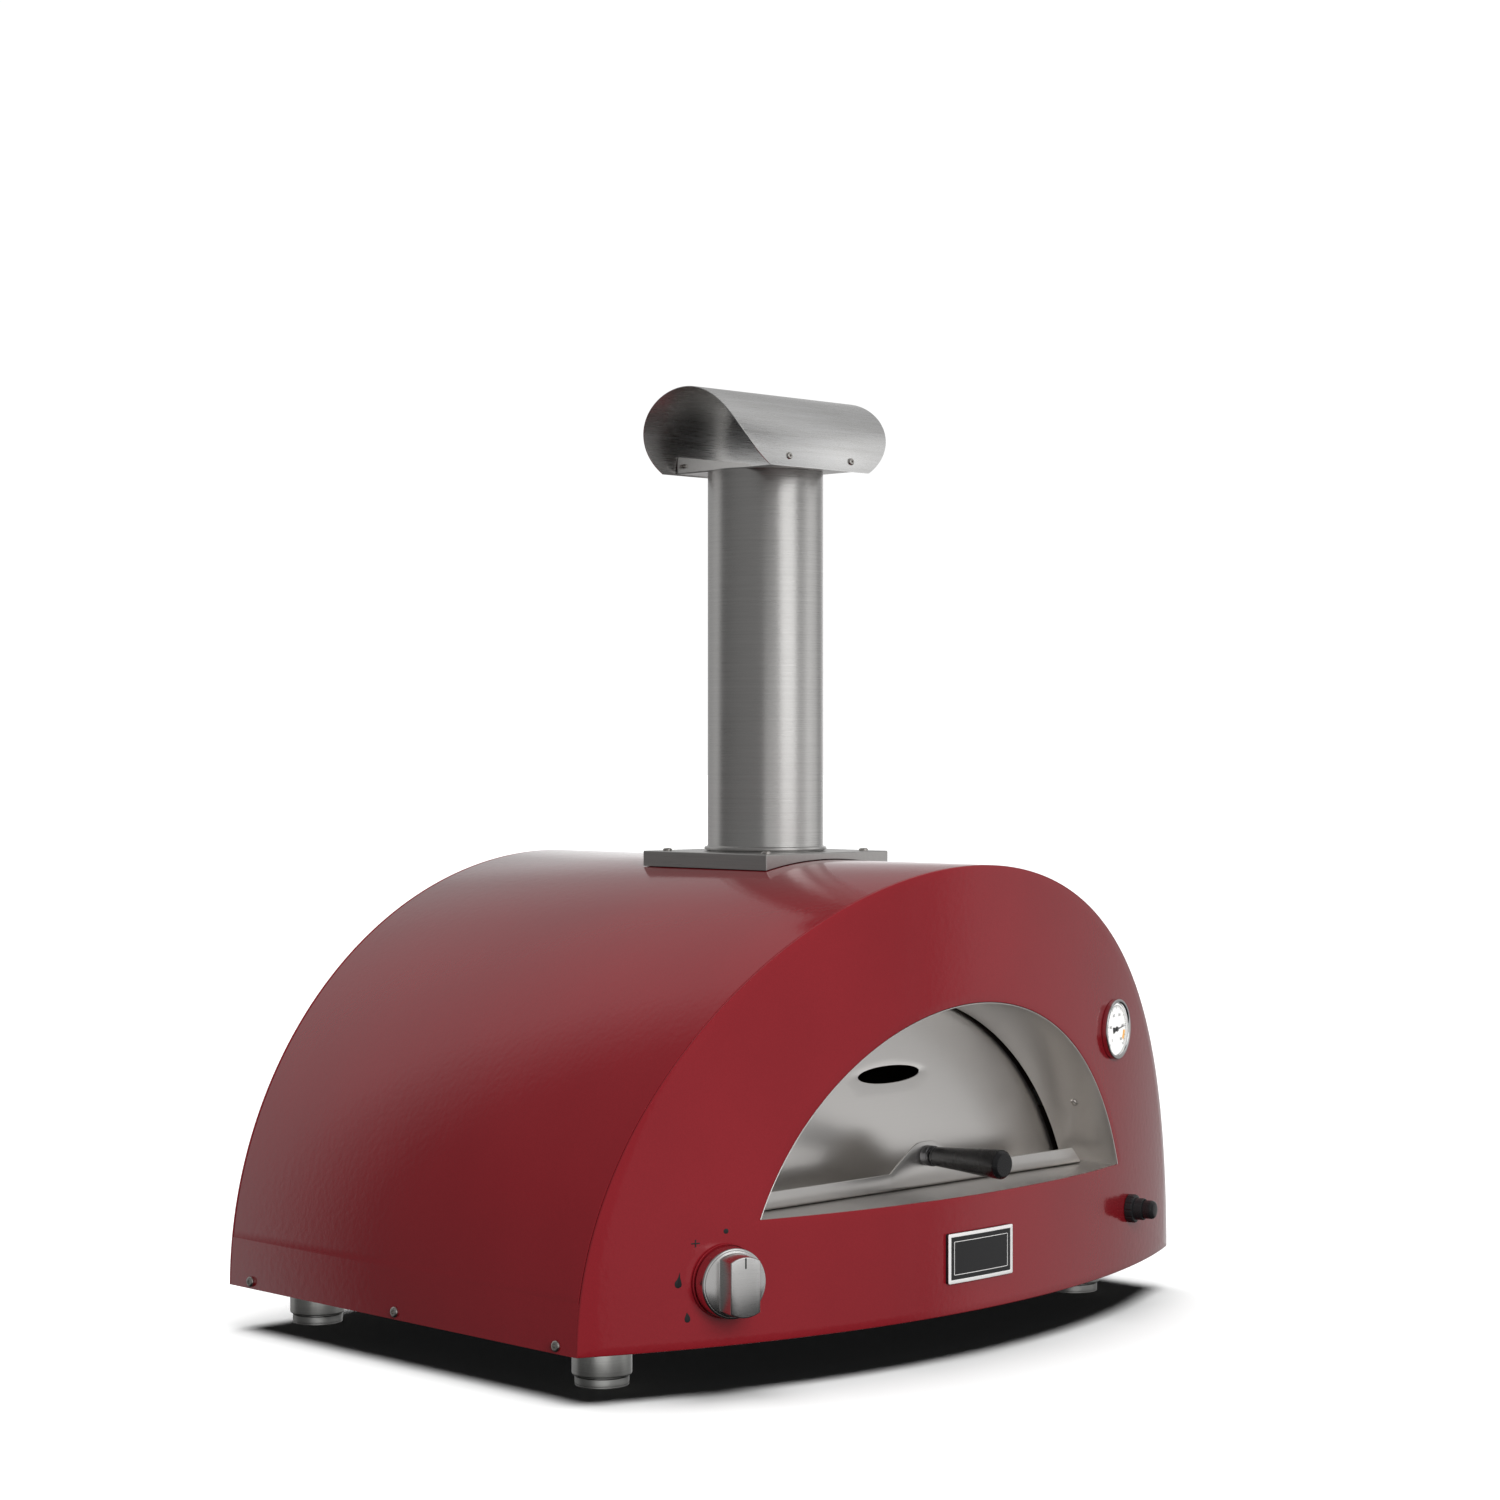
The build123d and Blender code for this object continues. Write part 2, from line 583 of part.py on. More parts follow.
def thermometer_needle():
    """Pointer on its spindle, lying along local X at rest."""
    blade = make_face(Polyline((-7, 1.3), (-7, -1.3), (0, -1.0), (17.5, 0), (0, 1.0), (-7, 1.3)))
    hub = disc(2.2, 2.5, 3.8)
    return extrude(Pos(0, 0, 2.8) * Rot(0, 0, 6) * blade, 0.6) + hub + disc(0.8, -6, 2.6)


save("thermometer_case", DIAL * thermometer_case())
save("thermometer_bezel", DIAL * thermometer_bezel())
save("thermometer_dial", DIAL * (disc(DIAL_R - 3.7, 1.0, 2.0) - disc(0.88, 0, 3)))
save("thermometer_lens", DIAL * disc(DIAL_R - 3.3, 4.3, 5.3))
save("thermometer_needle", DIAL * thermometer_needle())
save("thermometer_probe", DIAL * disc(3.0, -112, -18.2))


# ---- gas control -------------------------------------------------------------------
def knob():
    """Round skirt of the knob, hollow behind, bored for the stem."""
    base = PUSH_TRAVEL + 0.8
    skirt = disc(KNOB_R, base, KNOB_FACE)
    skirt = fillet(skirt.edges().group_by(Axis.Z)[-1], 0.9)
    hollow = disc(KNOB_R - 2.5, 3, 12) - disc(9, 3, 12)
    return skirt - hollow - disc(4.05, 3, 22)


def knob_bar():
    """Bar grip on the skirt, with ends that are part of a circle and a pointer groove."""
    bar = Circle(23) & Rectangle(25, 60)
    grip = extrude(Pos(0, 0, KNOB_FACE) * bar, KNOB_TOP - KNOB_FACE)
    grip = fillet(grip.edges().group_by(Axis.Z)[-1], 0.8)
    groove = Pos(0, 19.5, KNOB_TOP) * Box(1.2, 9, 1.6)
    return grip - groove - disc(4.05, 3, 22)


def gas_valve():
    """Valve block behind the panel, with a bored nose for the stem and plunger."""
    body = fillet(Box(34, 34, 36).edges().filter_by(Axis.Z), 3)
    valve = Pos(0, 0, -30) * body + disc(9, -12, -4) + disc(6.5, -54, -48)
    valve -= disc(4.06, -30, 0)
    return valve - disc(3.26, -43, -29)


save("knob", KNOB * knob())
save("knob_bar", KNOB * knob_bar())
save("knob_bezel", KNOB * (ring(29.0, 27.6, 0.6, 4.0) + ring(29.0, 6.2, 0.3, 0.6)))
save("valve_stem", KNOB * disc(4.0, -26, 21.9))
save("valve_plunger", KNOB * disc(3.2, -38, -26.1))
save("gas_valve", KNOB * gas_valve())


# ---- gas line and burner -----------------------------------------------------------
def supply_pipe():
    """From the rear inlet under the hearth to the underside of the valve."""
    valve = KNOB * Pos(0, 0, -31)
    foot = valve.position
    points = [(SUPPLY_X, REAR_Y - 6, SUPPLY_Z), (foot.X, foot.Y, SUPPLY_Z),
              (foot.X, foot.Y, KNOB_Z - 17)]
    return tube_along(points, 9, GAS_PIPE_R)


def burner_feed():
    """Short bent pipe from the valve's outlet to the burner."""
    outlet = (KNOB * Pos(0, 0, -54.05)).position
    elbow = (KNOB * Pos(0, 0, -69)).position
    points = [(outlet.X, outlet.Y, outlet.Z), (elbow.X, elbow.Y, outlet.Z),
              (BURNER_X, elbow.Y + 22, BURNER_Z), (BURNER_X, -96, BURNER_Z)]
    return tube_along(points, 6, GAS_PIPE_R)


def burner_tube():
    """Ported tube along the left of the hearth, on two saddles."""
    tube = rod_y(BURNER_X, BURNER_Z, -96, 236, BURNER_R) \
        - rod_y(BURNER_X, BURNER_Z, -94, 234, BURNER_R - SHEET)
    for y in (-60, 200):
        saddle = block(BURNER_X - 10, BURNER_X + 10, y, y + 3, SUPPORT_Z + SHEET, BURNER_Z)
        tube += saddle - rod_y(BURNER_X, BURNER_Z, y - 1, y + 4, BURNER_R - SHEET / 2)
    for place in range(20):
        for lean in (-3.5, 3.5):
            tube -= post(BURNER_X + lean, -80 + 16 * place, BURNER_Z, BURNER_Z + 20, 1.3)
    return tube


def gas_inlet():
    """Threaded tail through the rear panel with a fixed hexagon."""
    tail = rod_y(SUPPLY_X, SUPPLY_Z, REAR_Y - 6, INLET_END_Y, THREAD_R)
    hexagon = Pos(SUPPLY_X, SUPPLY_Z) * RegularPolygon(14.5, 6)
    inlet = tail + prism(hexagon, REAR_Y + 0.1, REAR_Y + 6)
    return inlet - rod_y(SUPPLY_X, SUPPLY_Z, REAR_Y - 4, INLET_END_Y + 1, 4.5)


def spark_electrode():
    """Ceramic rod through the bulkhead with a bare wire at its tip."""
    return rod_y(-209.5, 118, -156, -108, 3.0) + rod_y(-209.5, 118, -108, -92, 0.9)


save("supply_pipe", supply_pipe())
save("burner_feed", burner_feed())
save("burner_tube", burner_tube())
save("burner_shield", block(-203, -201.5, -130, 250, SUPPORT_Z + SHEET, 148))
save("gas_inlet", gas_inlet())
save("spark_electrode", spark_electrode())


# ---- igniter -----------------------------------------------------------------------
def igniter_body():
    """Piezo barrel through the panel, open at the front for its button."""
    body = disc(9.5, -44, 15)
    body = fillet(body.edges().group_by(Axis.Z)[-1], 0.8)
    return body + disc(2.5, -47, -44) - disc(8.08, 2, 16)


def igniter_nut():
    """Black clamping nut with finger notches."""
    nut = ring(12.25, 9.55, 0.3, 7.5)
    nut = fillet(nut.edges().group_by(Axis.Z)[-1].sort_by(SortBy.LENGTH)[-1], 1.2)
    for step in range(12):
        nut -= Rot(0, 0, 30 * step) * Pos(12.9, 0, 4) * Cylinder(1.2, 20)
    return nut


def igniter_button():
    button = disc(8.0, 8, 25)
    return fillet(button.edges().group_by(Axis.Z)[-1], 3.2)


def ignition_lead():
    """Insulated lead inside the front, from the piezo to the electrode."""
    start = (IGNITER * Pos(0, 0, -47)).position
    turn = (IGNITER * Pos(0, 0, -56)).position
    points = [(start.X, start.Y, start.Z), (turn.X, turn.Y, turn.Z), (205, -156, 62),
              (-180, -165, 62), (-209.5, -180, 92), (-209.5, -177, 118), (-209.5, -156, 118)]
    return tube_along(points, (4, 10, 10, 10, 7), 2.0)


save("igniter_body", IGNITER * igniter_body())
save("igniter_nut", IGNITER * igniter_nut())
save("igniter_button", IGNITER * igniter_button())
save("ignition_lead", ignition_lead())


# ---- badge -------------------------------------------------------------------------
def badge(width, height, low, high, corner):
    """Curved rectangular plate that follows the bowed front."""
    outline = Pos(0, BADGE_Z) * RectangleRounded(width, height, corner)
    return bow_layer(prism(outline, -300, -200), -high, -low)


BADGE_FRAME = badge(*BADGE_SIZE, 0.05, 3.6, 1.2)
BADGE_FRAME -= badge(BADGE_SIZE[0] - 6, BADGE_SIZE[1] - 6, 2.4, 5, 0.6)
save("badge_frame", BADGE_FRAME)
save("badge_plate", badge(BADGE_SIZE[0] - 6.2, BADGE_SIZE[1] - 6.2, 2.42, 3.1, 0.5))
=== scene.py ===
"""Looks of the countertop pizza oven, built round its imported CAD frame.

Lengths of pieces are millimetres in the oven's own frame, whose Y = 0 is the flue's axis: X is
to the right, Y to the back and Z up. at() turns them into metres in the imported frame. Materials,
lights and the camera are in metres.
"""

import json
import math

import bmesh
import bpy
from mathutils import Matrix, Vector

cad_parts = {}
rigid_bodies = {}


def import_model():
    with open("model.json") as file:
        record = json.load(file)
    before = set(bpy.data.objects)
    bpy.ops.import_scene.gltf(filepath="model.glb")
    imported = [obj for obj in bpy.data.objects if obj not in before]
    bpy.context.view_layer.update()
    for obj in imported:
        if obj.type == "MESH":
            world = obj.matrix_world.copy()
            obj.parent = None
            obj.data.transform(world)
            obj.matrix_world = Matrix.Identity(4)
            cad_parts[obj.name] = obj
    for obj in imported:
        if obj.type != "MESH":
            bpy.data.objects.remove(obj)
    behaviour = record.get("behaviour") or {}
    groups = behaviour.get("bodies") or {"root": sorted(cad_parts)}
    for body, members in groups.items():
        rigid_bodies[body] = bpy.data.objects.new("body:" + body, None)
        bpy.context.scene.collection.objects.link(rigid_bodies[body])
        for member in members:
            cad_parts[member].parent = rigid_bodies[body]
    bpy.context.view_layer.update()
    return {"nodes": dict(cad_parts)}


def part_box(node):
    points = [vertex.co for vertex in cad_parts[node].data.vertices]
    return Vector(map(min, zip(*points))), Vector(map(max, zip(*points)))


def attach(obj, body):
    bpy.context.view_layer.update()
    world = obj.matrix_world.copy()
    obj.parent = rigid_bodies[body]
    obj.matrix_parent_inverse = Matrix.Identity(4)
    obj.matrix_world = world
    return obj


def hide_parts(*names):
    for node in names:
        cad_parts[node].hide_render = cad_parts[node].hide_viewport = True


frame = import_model()
nodes = frame["nodes"]

MM = 0.001
SHIFT_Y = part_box("handle_grip")[0].y / MM + 270.0

SHEET = 1.5
FLOOR_CLEAR = 37.2
BODY_R = 360.0
REAR_Y = 283.3
BOW_R, BOW_CENTRE_Y = 816.7, 573.8
SEAM, TIGHT, NOTCH_Z, RETURN = 0.9, 0.1, 77.2, 14.0
MOUTH_R, MOUTH_Z, HEARTH_Z = 234.4, 51.5, 130.8
LINER_R, LINER_SHEET, LINER_REAR_Y = 233.2, 1.0, -149.0
DOOR_R, DOOR_Y, DOOR_Z, LIP_Y, LIP_TOP = 232.0, -144.5, 131.1, -186.0, 145.5
HANDLE_Z = 157.0
FEET = [(x, y) for x in (-288.8, 288.8) for y in (-107.9, 254.8)]
FLUE_HOLE_R = 52.0
PIPE_R, PIPE_BORE_R, PIPE_FOOT_Z, PIPE_TOP_Z = 50, 49, 404.0, 729.9
COWL_R, COWL_AXIS_Z, COWL_FOOT_Z, COWL_TOP_Z = 66.0, 731.3, 729.3, 797.3
INLET_X, INLET_Z, INLET_HOLE_R = -240.0, 53.0, 10.68
BADGE_Z = 82.8

# Solved from the photograph: the lens on a 36 mm sensor, and the camera's place in metres.
LENS, SENSOR, CAMERA_PLACE = 72.4, 36, (-1.8572, -1.85585, 0.4903)


# ---- geometry helpers ----
def at(x, y, z):
    """A point given in the oven's millimetres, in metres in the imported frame."""
    return Vector((x * MM, (y + SHIFT_Y) * MM, z * MM))


def bow_y(x, depth):
    """Y of the bowed front at x, a depth behind its outer face."""
    return BOW_CENTRE_Y - math.sqrt((BOW_R - depth) ** 2 - x * x)


def on_bow(x, z):
    """Frame on the bowed front: local Z points out and local Y up."""
    angle = math.asin(x / BOW_R)
    c, s = math.cos(angle), math.sin(angle)
    turn = Matrix(((c, 0, s), (s, 0, -c), (0, 1, 0))).to_4x4()
    return Matrix.Translation(at(x, bow_y(x, 0), z)) @ turn


def turned_to(x, y, z, towards_back=False):
    """Frame whose local Z points to the front, or to the back."""
    s = 1 if towards_back else -1
    turn = Matrix(((-s, 0, 0), (0, 0, s), (0, 1, 0))).to_4x4()
    return Matrix.Translation(at(x, y, z)) @ turn


def skin(rows, loop=False, caps=False):
    """Quads over closed rows of points: loop joins the last row to the first, caps close both."""
    count = len(rows[0])
    points = [p for row in rows for p in row]
    faces = []
    for i in range(len(rows) if loop else len(rows) - 1):
        a, b = i * count, (i + 1) % len(rows) * count
        for j in range(count):
            k = (j + 1) % count
            faces.append((a + j, a + k, b + k, b + j))
    if caps:
        faces.append(tuple(range(count)))
        faces.append(tuple(range(len(points) - count, len(points))))
    return points, faces


def merged(*parts):
    """Several (points, faces) pairs as one."""
    points, faces = [], []
    for some_points, some_faces in parts:
        base = len(points)
        points += some_points
        faces += [tuple(base + i for i in face) for face in some_faces]
    return points, faces


def moved(matrix, part):
    """A part whose points are moved by a matrix, both in millimetres."""
    return [matrix @ Vector(p) for p in part[0]], part[1]


def slab(low, high, thick, radius, steps=3):
    """Round-cornered section of a sheet as (along, depth) points, in order round it."""
    corners = ((high - radius, radius, -90), (high - radius, thick - radius, 0),
               (low + radius, thick - radius, 90), (low + radius, radius, 180))
    loop = []
    for along, depth, start in corners:
        for i in range(steps + 1):
            angle = math.radians(start + 90 * i / steps)
            loop.append((along + radius * math.cos(angle), depth + radius * math.sin(angle)))
    return loop


def lathe(profile, steps=96, closed=False, shape=None):
    """Profile of (radius, height) turned about Z. An open profile is capped at both ends."""
    rows = []
    for r, z in profile:
        row = []
        for i in range(steps):
            angle = 2 * math.pi * i / steps
            reach = shape(r, z, angle) if shape else r
            row.append((reach * math.cos(angle), reach * math.sin(angle), z))
        rows.append(row)
    return skin(rows, loop=closed, caps=not closed)


def smooth(points, steps=8):
    """Catmull-Rom curve through points."""
    ends = [points[0]] + list(points) + [points[-1]]
    curve = []
    for a, b, c, d in zip(ends, ends[1:], ends[2:], ends[3:]):
        for i in range(steps):
            t = i / steps
            curve.append(tuple(
                0.5 * (2 * q + (r - p) * t + (2 * p - 5 * q + 4 * r - s) * t * t
                       + (3 * q - p - 3 * r + s) * t ** 3) for p, q, r, s in zip(a, b, c, d)))
    return curve + [tuple(points[-1])]


def arc(cx, cy, radius, start, end, steps):
    """Points of an arc, with the angles in degrees."""
    angles = [math.radians(start + (end - start) * i / steps) for i in range(steps + 1)]
    return [(cx + radius * math.cos(a), cy + radius * math.sin(a)) for a in angles]


def inset(outline, amount):
    """A closed outline moved inwards, for outlines that run anticlockwise."""
    result = []
    count = len(outline)
    for i, (x, y) in enumerate(outline):
        ax, ay = outline[i - 1]
        bx, by = outline[(i + 1) % count]
        dx, dy = bx - ax, by - ay
        length = math.hypot(dx, dy) or 1.0
        result.append((x - dy / length * amount, y + dx / length * amount))
    return result


def stack(outline, profile):
    """Solid over an outline: profile is (inset, height) pairs from its foot to its top."""
    return skin([[(x, y, z) for x, y in inset(outline, amount)] for amount, z in profile],
                caps=True)


def rounded_box(width, height, radius, steps=5, along=1):
    """Anticlockwise outline of a rounded rectangle, its level sides divided along their length."""
    w, h = width / 2 - radius, height / 2 - radius
    outline = []
    for cx, cy, start in ((w, -h, -90), (w, h, 0), (-w, h, 90), (-w, -h, 180)):
        outline += arc(cx, cy, radius, start, start + 90, steps)
        if cx * cy > 0:
            outline += [(cx - 2 * cx * i / along, outline[-1][1]) for i in range(1, along)]
    return outline


def linked(name, data):
    """A new object in the scene."""
    obj = bpy.data.objects.new(name, data)
    bpy.context.scene.collection.objects.link(obj)
    return obj


def drawn(curve):
    """A curve or a text as (points, faces). The curve itself is removed."""
    holder = linked("drawn", curve)
    ready = holder.evaluated_get(bpy.context.evaluated_depsgraph_get())
    mesh = bpy.data.meshes.new_from_object(ready)
    part = [tuple(v.co) for v in mesh.vertices], [tuple(p.vertices) for p in mesh.polygons]
    bpy.data.objects.remove(holder)
    bpy.data.curves.remove(curve)
    bpy.data.meshes.remove(mesh)
    return part


def piece(name, part, body, material, stands_for=(), place=None, sharp=32):
    """A mesh piece that rides on a body and stands for some CAD nodes.

    With a place, its points are in that frame. Edges bent by more than sharp degrees stay crisp.
    """
    points, faces = part
    mesh = bpy.data.meshes.new(name)
    if place is None:
        mesh.from_pydata([at(*p) for p in points], [], faces)
    else:
        mesh.from_pydata([Vector(p) * MM for p in points], [], faces)
    shape = bmesh.new()
    shape.from_mesh(mesh)
    bmesh.ops.remove_doubles(shape, verts=shape.verts, dist=1e-6)
    bmesh.ops.recalc_face_normals(shape, faces=shape.faces)
    shape.to_mesh(mesh)
    shape.free()
    mesh.polygons.foreach_set("use_smooth", [True] * len(mesh.polygons))
    mesh.set_sharp_from_angle(angle=math.radians(sharp))
    obj = linked(name, mesh)
    if place is not None:
        obj.matrix_world = place
    mesh.materials.append(material)
    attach(obj, body)
    if stands_for:
        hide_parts(*stands_for)
    return obj


# ---- material helpers ----
class Nodes:
    """Short ways to build a node tree. Each returns an output socket, apart from add."""

    def __init__(self, tree):
        self.tree = tree

    def add(self, kind, **settings):
        """A new node with some of its settings."""
        node = self.tree.nodes.new("ShaderNode" + kind)
        for key, value in settings.items():
            setattr(node, key, value)
        return node

    def feed(self, source, target):
        self.tree.links.new(source, target)

    def span(self, value, low, high, start=0.0, end=1.0):
        """Remaps start..end to low..high."""
        node = self.add("MapRange")
        self.feed(value, node.inputs["Value"])
        sockets = "From Min", "From Max", "To Min", "To Max"
        for key, number in zip(sockets, (start, end, low, high)):
            node.inputs[key].default_value = number
        return node.outputs["Result"]

    def blend(self, factor, first, second):
        """Mix of two colours, each a tuple or a socket."""
        node = self.add("Mix", data_type="RGBA")
        self.feed(factor, node.inputs["Factor"])
        for socket, value in ((node.inputs[6], first), (node.inputs[7], second)):
            if isinstance(value, tuple):
                socket.default_value = (*value, 1)
            else:
                self.feed(value, socket)
        return node.outputs[2]

    def plus(self, a, b, weight=1.0):
        """a + weight * b."""
        node = self.add("Math", operation="MULTIPLY_ADD")
        self.feed(b, node.inputs[0])
        node.inputs[1].default_value = weight
        self.feed(a, node.inputs[2])
        return node.outputs[0]

    def either(self, factor, first, second):
        """Mix of two shaders."""
        node = self.add("MixShader")
        for socket, value in zip(node.inputs, (factor, first, second)):
            self.feed(value, socket)
        return node.outputs[0]


class Finish(Nodes):
    """A Principled material and its node tree."""

    def __init__(self, name, **sockets):
        self.material = bpy.data.materials.new(name)
        self.material.use_nodes = True
        super().__init__(self.material.node_tree)
        self.shader = self.tree.nodes["Principled BSDF"]
        for key, value in sockets.items():
            self.shader.inputs[key.replace("_", " ")].default_value = value

    def place(self, scale=(1, 1, 1)):
        """Object coordinates in metres, stretched."""
        coords = self.add("TexCoord")
        mapping = self.add("Mapping")
        mapping.inputs["Scale"].default_value = scale
        self.feed(coords.outputs["Object"], mapping.inputs["Vector"])
        return mapping.outputs["Vector"]

    def noise(self, vector, scale, detail=2.0, rough=0.5, warp=0.0):
        """Fractal noise from 0 to 1, its scale in features to the metre."""
        node = self.add("TexNoise")
        node.inputs["Scale"].default_value = scale
        node.inputs["Detail"].default_value = detail
        node.inputs["Roughness"].default_value = rough
        node.inputs["Distortion"].default_value = warp
        self.feed(vector, node.inputs["Vector"])
        return node.outputs["Fac"]

    def cells(self, vector, scale, output="Distance"):
        """Cell pattern."""
        node = self.add("TexVoronoi")
        node.inputs["Scale"].default_value = scale
        self.feed(vector, node.inputs["Vector"])
        return node.outputs[output]

    def set(self, socket, value):
        """Feeds one socket of the shader."""
        self.feed(value, self.shader.inputs[socket])

    def bump(self, height, distance):
        """Surface relief, its distance in metres."""
        node = self.add("Bump")
        node.inputs["Strength"].default_value = 1.0
        node.inputs["Distance"].default_value = distance
        self.feed(height, node.inputs["Height"])
        for socket in ("Normal", "Coat Normal"):
            self.feed(node.outputs["Normal"], self.shader.inputs[socket])


def powder_coat():
    """Deep red gloss powder coat with orange peel."""
    f = Finish("red_powder_coat", IOR=1.5, Specular_IOR_Level=0.8, Specular_Tint=(1, 0.2, 0.25, 1),
               Coat_Weight=0.95, Coat_Roughness=0.05)
    vector = f.place()
    broad = f.noise(vector, 9, 3)
    grain = f.noise(vector, 900, 2)
    colour = f.blend(f.span(broad, 0, 1, 0.3, 0.7), (0.235, 0.0105, 0.0165), (0.262, 0.0125, 0.019))
    f.set("Base Color", f.blend(f.span(grain, 0, 0.35, 0.35, 0.75), colour, (0.19, 0.007, 0.012)))
    f.set("Roughness", f.plus(f.span(broad, 0.15, 0.2), f.span(grain, 0, 0.06)))
    peel = f.noise(vector, 190, 3, 0.5)
    f.bump(f.plus(peel, f.noise(vector, 900, 1), 0.15), 0.00013)
    return f.material


def brushed(name, tint, stretch, rough=(0.24, 0.4), depth=0.00002, contrast=0.12, ring=None,
            turn=0.0):
    """Brushed metal: stretch is small along the grain and large across it.

    With a ring axis its highlights are drawn out round that axis, or along it after a turn.
    """
    f = Finish(name, Metallic=1.0)
    if ring:
        f.shader.inputs["Anisotropic"].default_value = 0.6
        f.shader.inputs["Anisotropic Rotation"].default_value = turn
        f.set("Tangent", f.add("Tangent", direction_type="RADIAL", axis=ring).outputs[0])
    fine = f.noise(f.place(stretch), 1.0, 4, 0.65)
    coarse = f.noise(f.place(tuple(s * 0.13 for s in stretch)), 1.0, 3, 0.6)
    cloud = f.noise(f.place(), 14, 4, 0.6)
    dark = tuple(c * (1 - contrast) for c in tint)
    light = tuple(min(1, c * (1 + contrast * 0.6)) for c in tint)
    streak = f.plus(fine, coarse, 0.6)
    f.set("Base Color", f.blend(f.span(f.plus(streak, cloud, 0.35), 0, 1, 0.6, 1.35), dark, light))
    f.set("Roughness", f.plus(f.span(fine, *rough, 0.3, 0.7), f.span(cloud, -0.03, 0.05)))
    f.bump(streak, depth)
    return f.material


def satin(name, tint, rough=0.3, grime=None):
    """Satin sheet steel with a fine level grain and faint handling marks."""
    f = Finish(name, Metallic=1.0)
    cloud = f.noise(f.place(), 7, 4, 0.55)
    grain = f.noise(f.place((30, 30, 2600)), 1.0, 3, 0.6)
    dark = grime or tuple(c * 0.94 for c in tint)
    f.set("Base Color", f.blend(f.span(f.plus(cloud, grain, 0.6), 0, 1, 0.5, 1.1), dark, tint))
    f.set("Roughness", f.plus(f.span(cloud, rough - 0.02, rough + 0.03), f.span(grain, 0, 0.06)))
    f.bump(grain, 0.00001)
    return f.material


def galvanised():
    """Zinc-coated sheet with spangle."""
    f = Finish("galvanised_steel", Metallic=1.0)
    vector = f.place()
    spangle = f.add("SeparateColor")
    f.feed(f.cells(vector, 120, "Color"), spangle.inputs["Color"])
    f.set("Base Color", f.blend(spangle.outputs["Red"], (0.4, 0.41, 0.42), (0.6, 0.61, 0.62)))
    f.set("Roughness", f.span(spangle.outputs["Green"], 0.32, 0.52))
    f.bump(f.noise(vector, 700, 2), 0.00002)
    return f.material


def fastener():
    """Plated screw steel."""
    f = Finish("screw_steel", Metallic=1.0)
    vector = f.place()
    mark = f.noise(vector, 500, 4, 0.7)
    f.set("Base Color", f.blend(f.span(mark, 0, 1, 0.35, 0.65),
                                (0.5, 0.47, 0.44), (0.72, 0.7, 0.67)))
    f.set("Roughness", f.span(mark, 0.2, 0.36))
    f.bump(f.noise(vector, 1800, 2), 0.00001)
    return f.material


def plastic(name, colour, rough, coat=0.0):
    """Moulded plastic with a very fine grain."""
    grain = 1400
    f = Finish(name, IOR=1.5, Coat_Weight=coat, Coat_Roughness=0.04)
    vector = f.place()
    cloud = f.noise(vector, 60, 4, 0.6)
    lighter = tuple(c * 1.35 + 0.002 for c in colour)
    f.set("Base Color", f.blend(cloud, colour, lighter))
    f.set("Roughness", f.plus(f.span(cloud, rough - 0.04, rough + 0.05),
                              f.span(f.noise(vector, grain), 0, 0.05)))
    f.bump(f.noise(vector, grain, 2), 0.00001)
    return f.material


def polished(name, tint, rough):
    """Plated bright metal with hairline wear."""
    f = Finish(name, Metallic=1.0)
    vector = f.place()
    hair = f.noise(f.place((900, 40, 900)), 1.0, 3, 0.6)
    f.set("Base Color", f.blend(hair, tuple(c * 0.93 for c in tint), tint))
    f.set("Roughness", f.plus(f.span(hair, rough, rough + 0.08),
                              f.span(f.noise(vector, 90, 4), 0, 0.05)))
    f.bump(hair, 0.000004)
    return f.material


def paint(name, colour, rough=0.5, relief=0.000006):
    """Thin print or enamel."""
    f = Finish(name, IOR=1.48)
    vector = f.place()
    speck = f.noise(vector, 900, 3, 0.6)
    f.set("Base Color", f.blend(f.span(speck, 0, 1, 0.3, 0.7),
                                tuple(c * 0.93 for c in colour), colour))
    f.set("Roughness", f.span(speck, rough - 0.05, rough + 0.08))
    f.bump(speck, relief)
    return f.material


def stone():
    """Refractory tile: pale, sandy and slightly scorched."""
    f = Finish("refractory_stone", IOR=1.45)
    vector = f.place()
    sand = f.noise(vector, 900, 5, 0.75)
    pits = f.cells(vector, 260)
    scorch = f.noise(vector, 6, 4, 0.6)
    base = f.blend(f.span(sand, 0, 1, 0.3, 0.7), (0.5, 0.42, 0.32), (0.66, 0.58, 0.46))
    f.set("Base Color", f.blend(f.span(scorch, 0, 0.6, 0.5, 0.8), base, (0.28, 0.2, 0.13)))
    f.set("Roughness", f.span(sand, 0.8, 0.97))
    f.bump(f.plus(sand, f.span(pits, 0, 1, 0, 0.25), 0.7), 0.0005)
    return f.material


def fibre(name, colour):
    """Felted ceramic fibre or pressed board."""
    f = Finish(name, Roughness=0.95, Sheen_Weight=0.3)
    vector = f.place()
    tangle = f.noise(vector, 420, 6, 0.75, 1.2)
    f.set("Base Color", f.blend(tangle, tuple(c * 0.8 for c in colour), colour))
    f.bump(tangle, 0.0012)
    return f.material


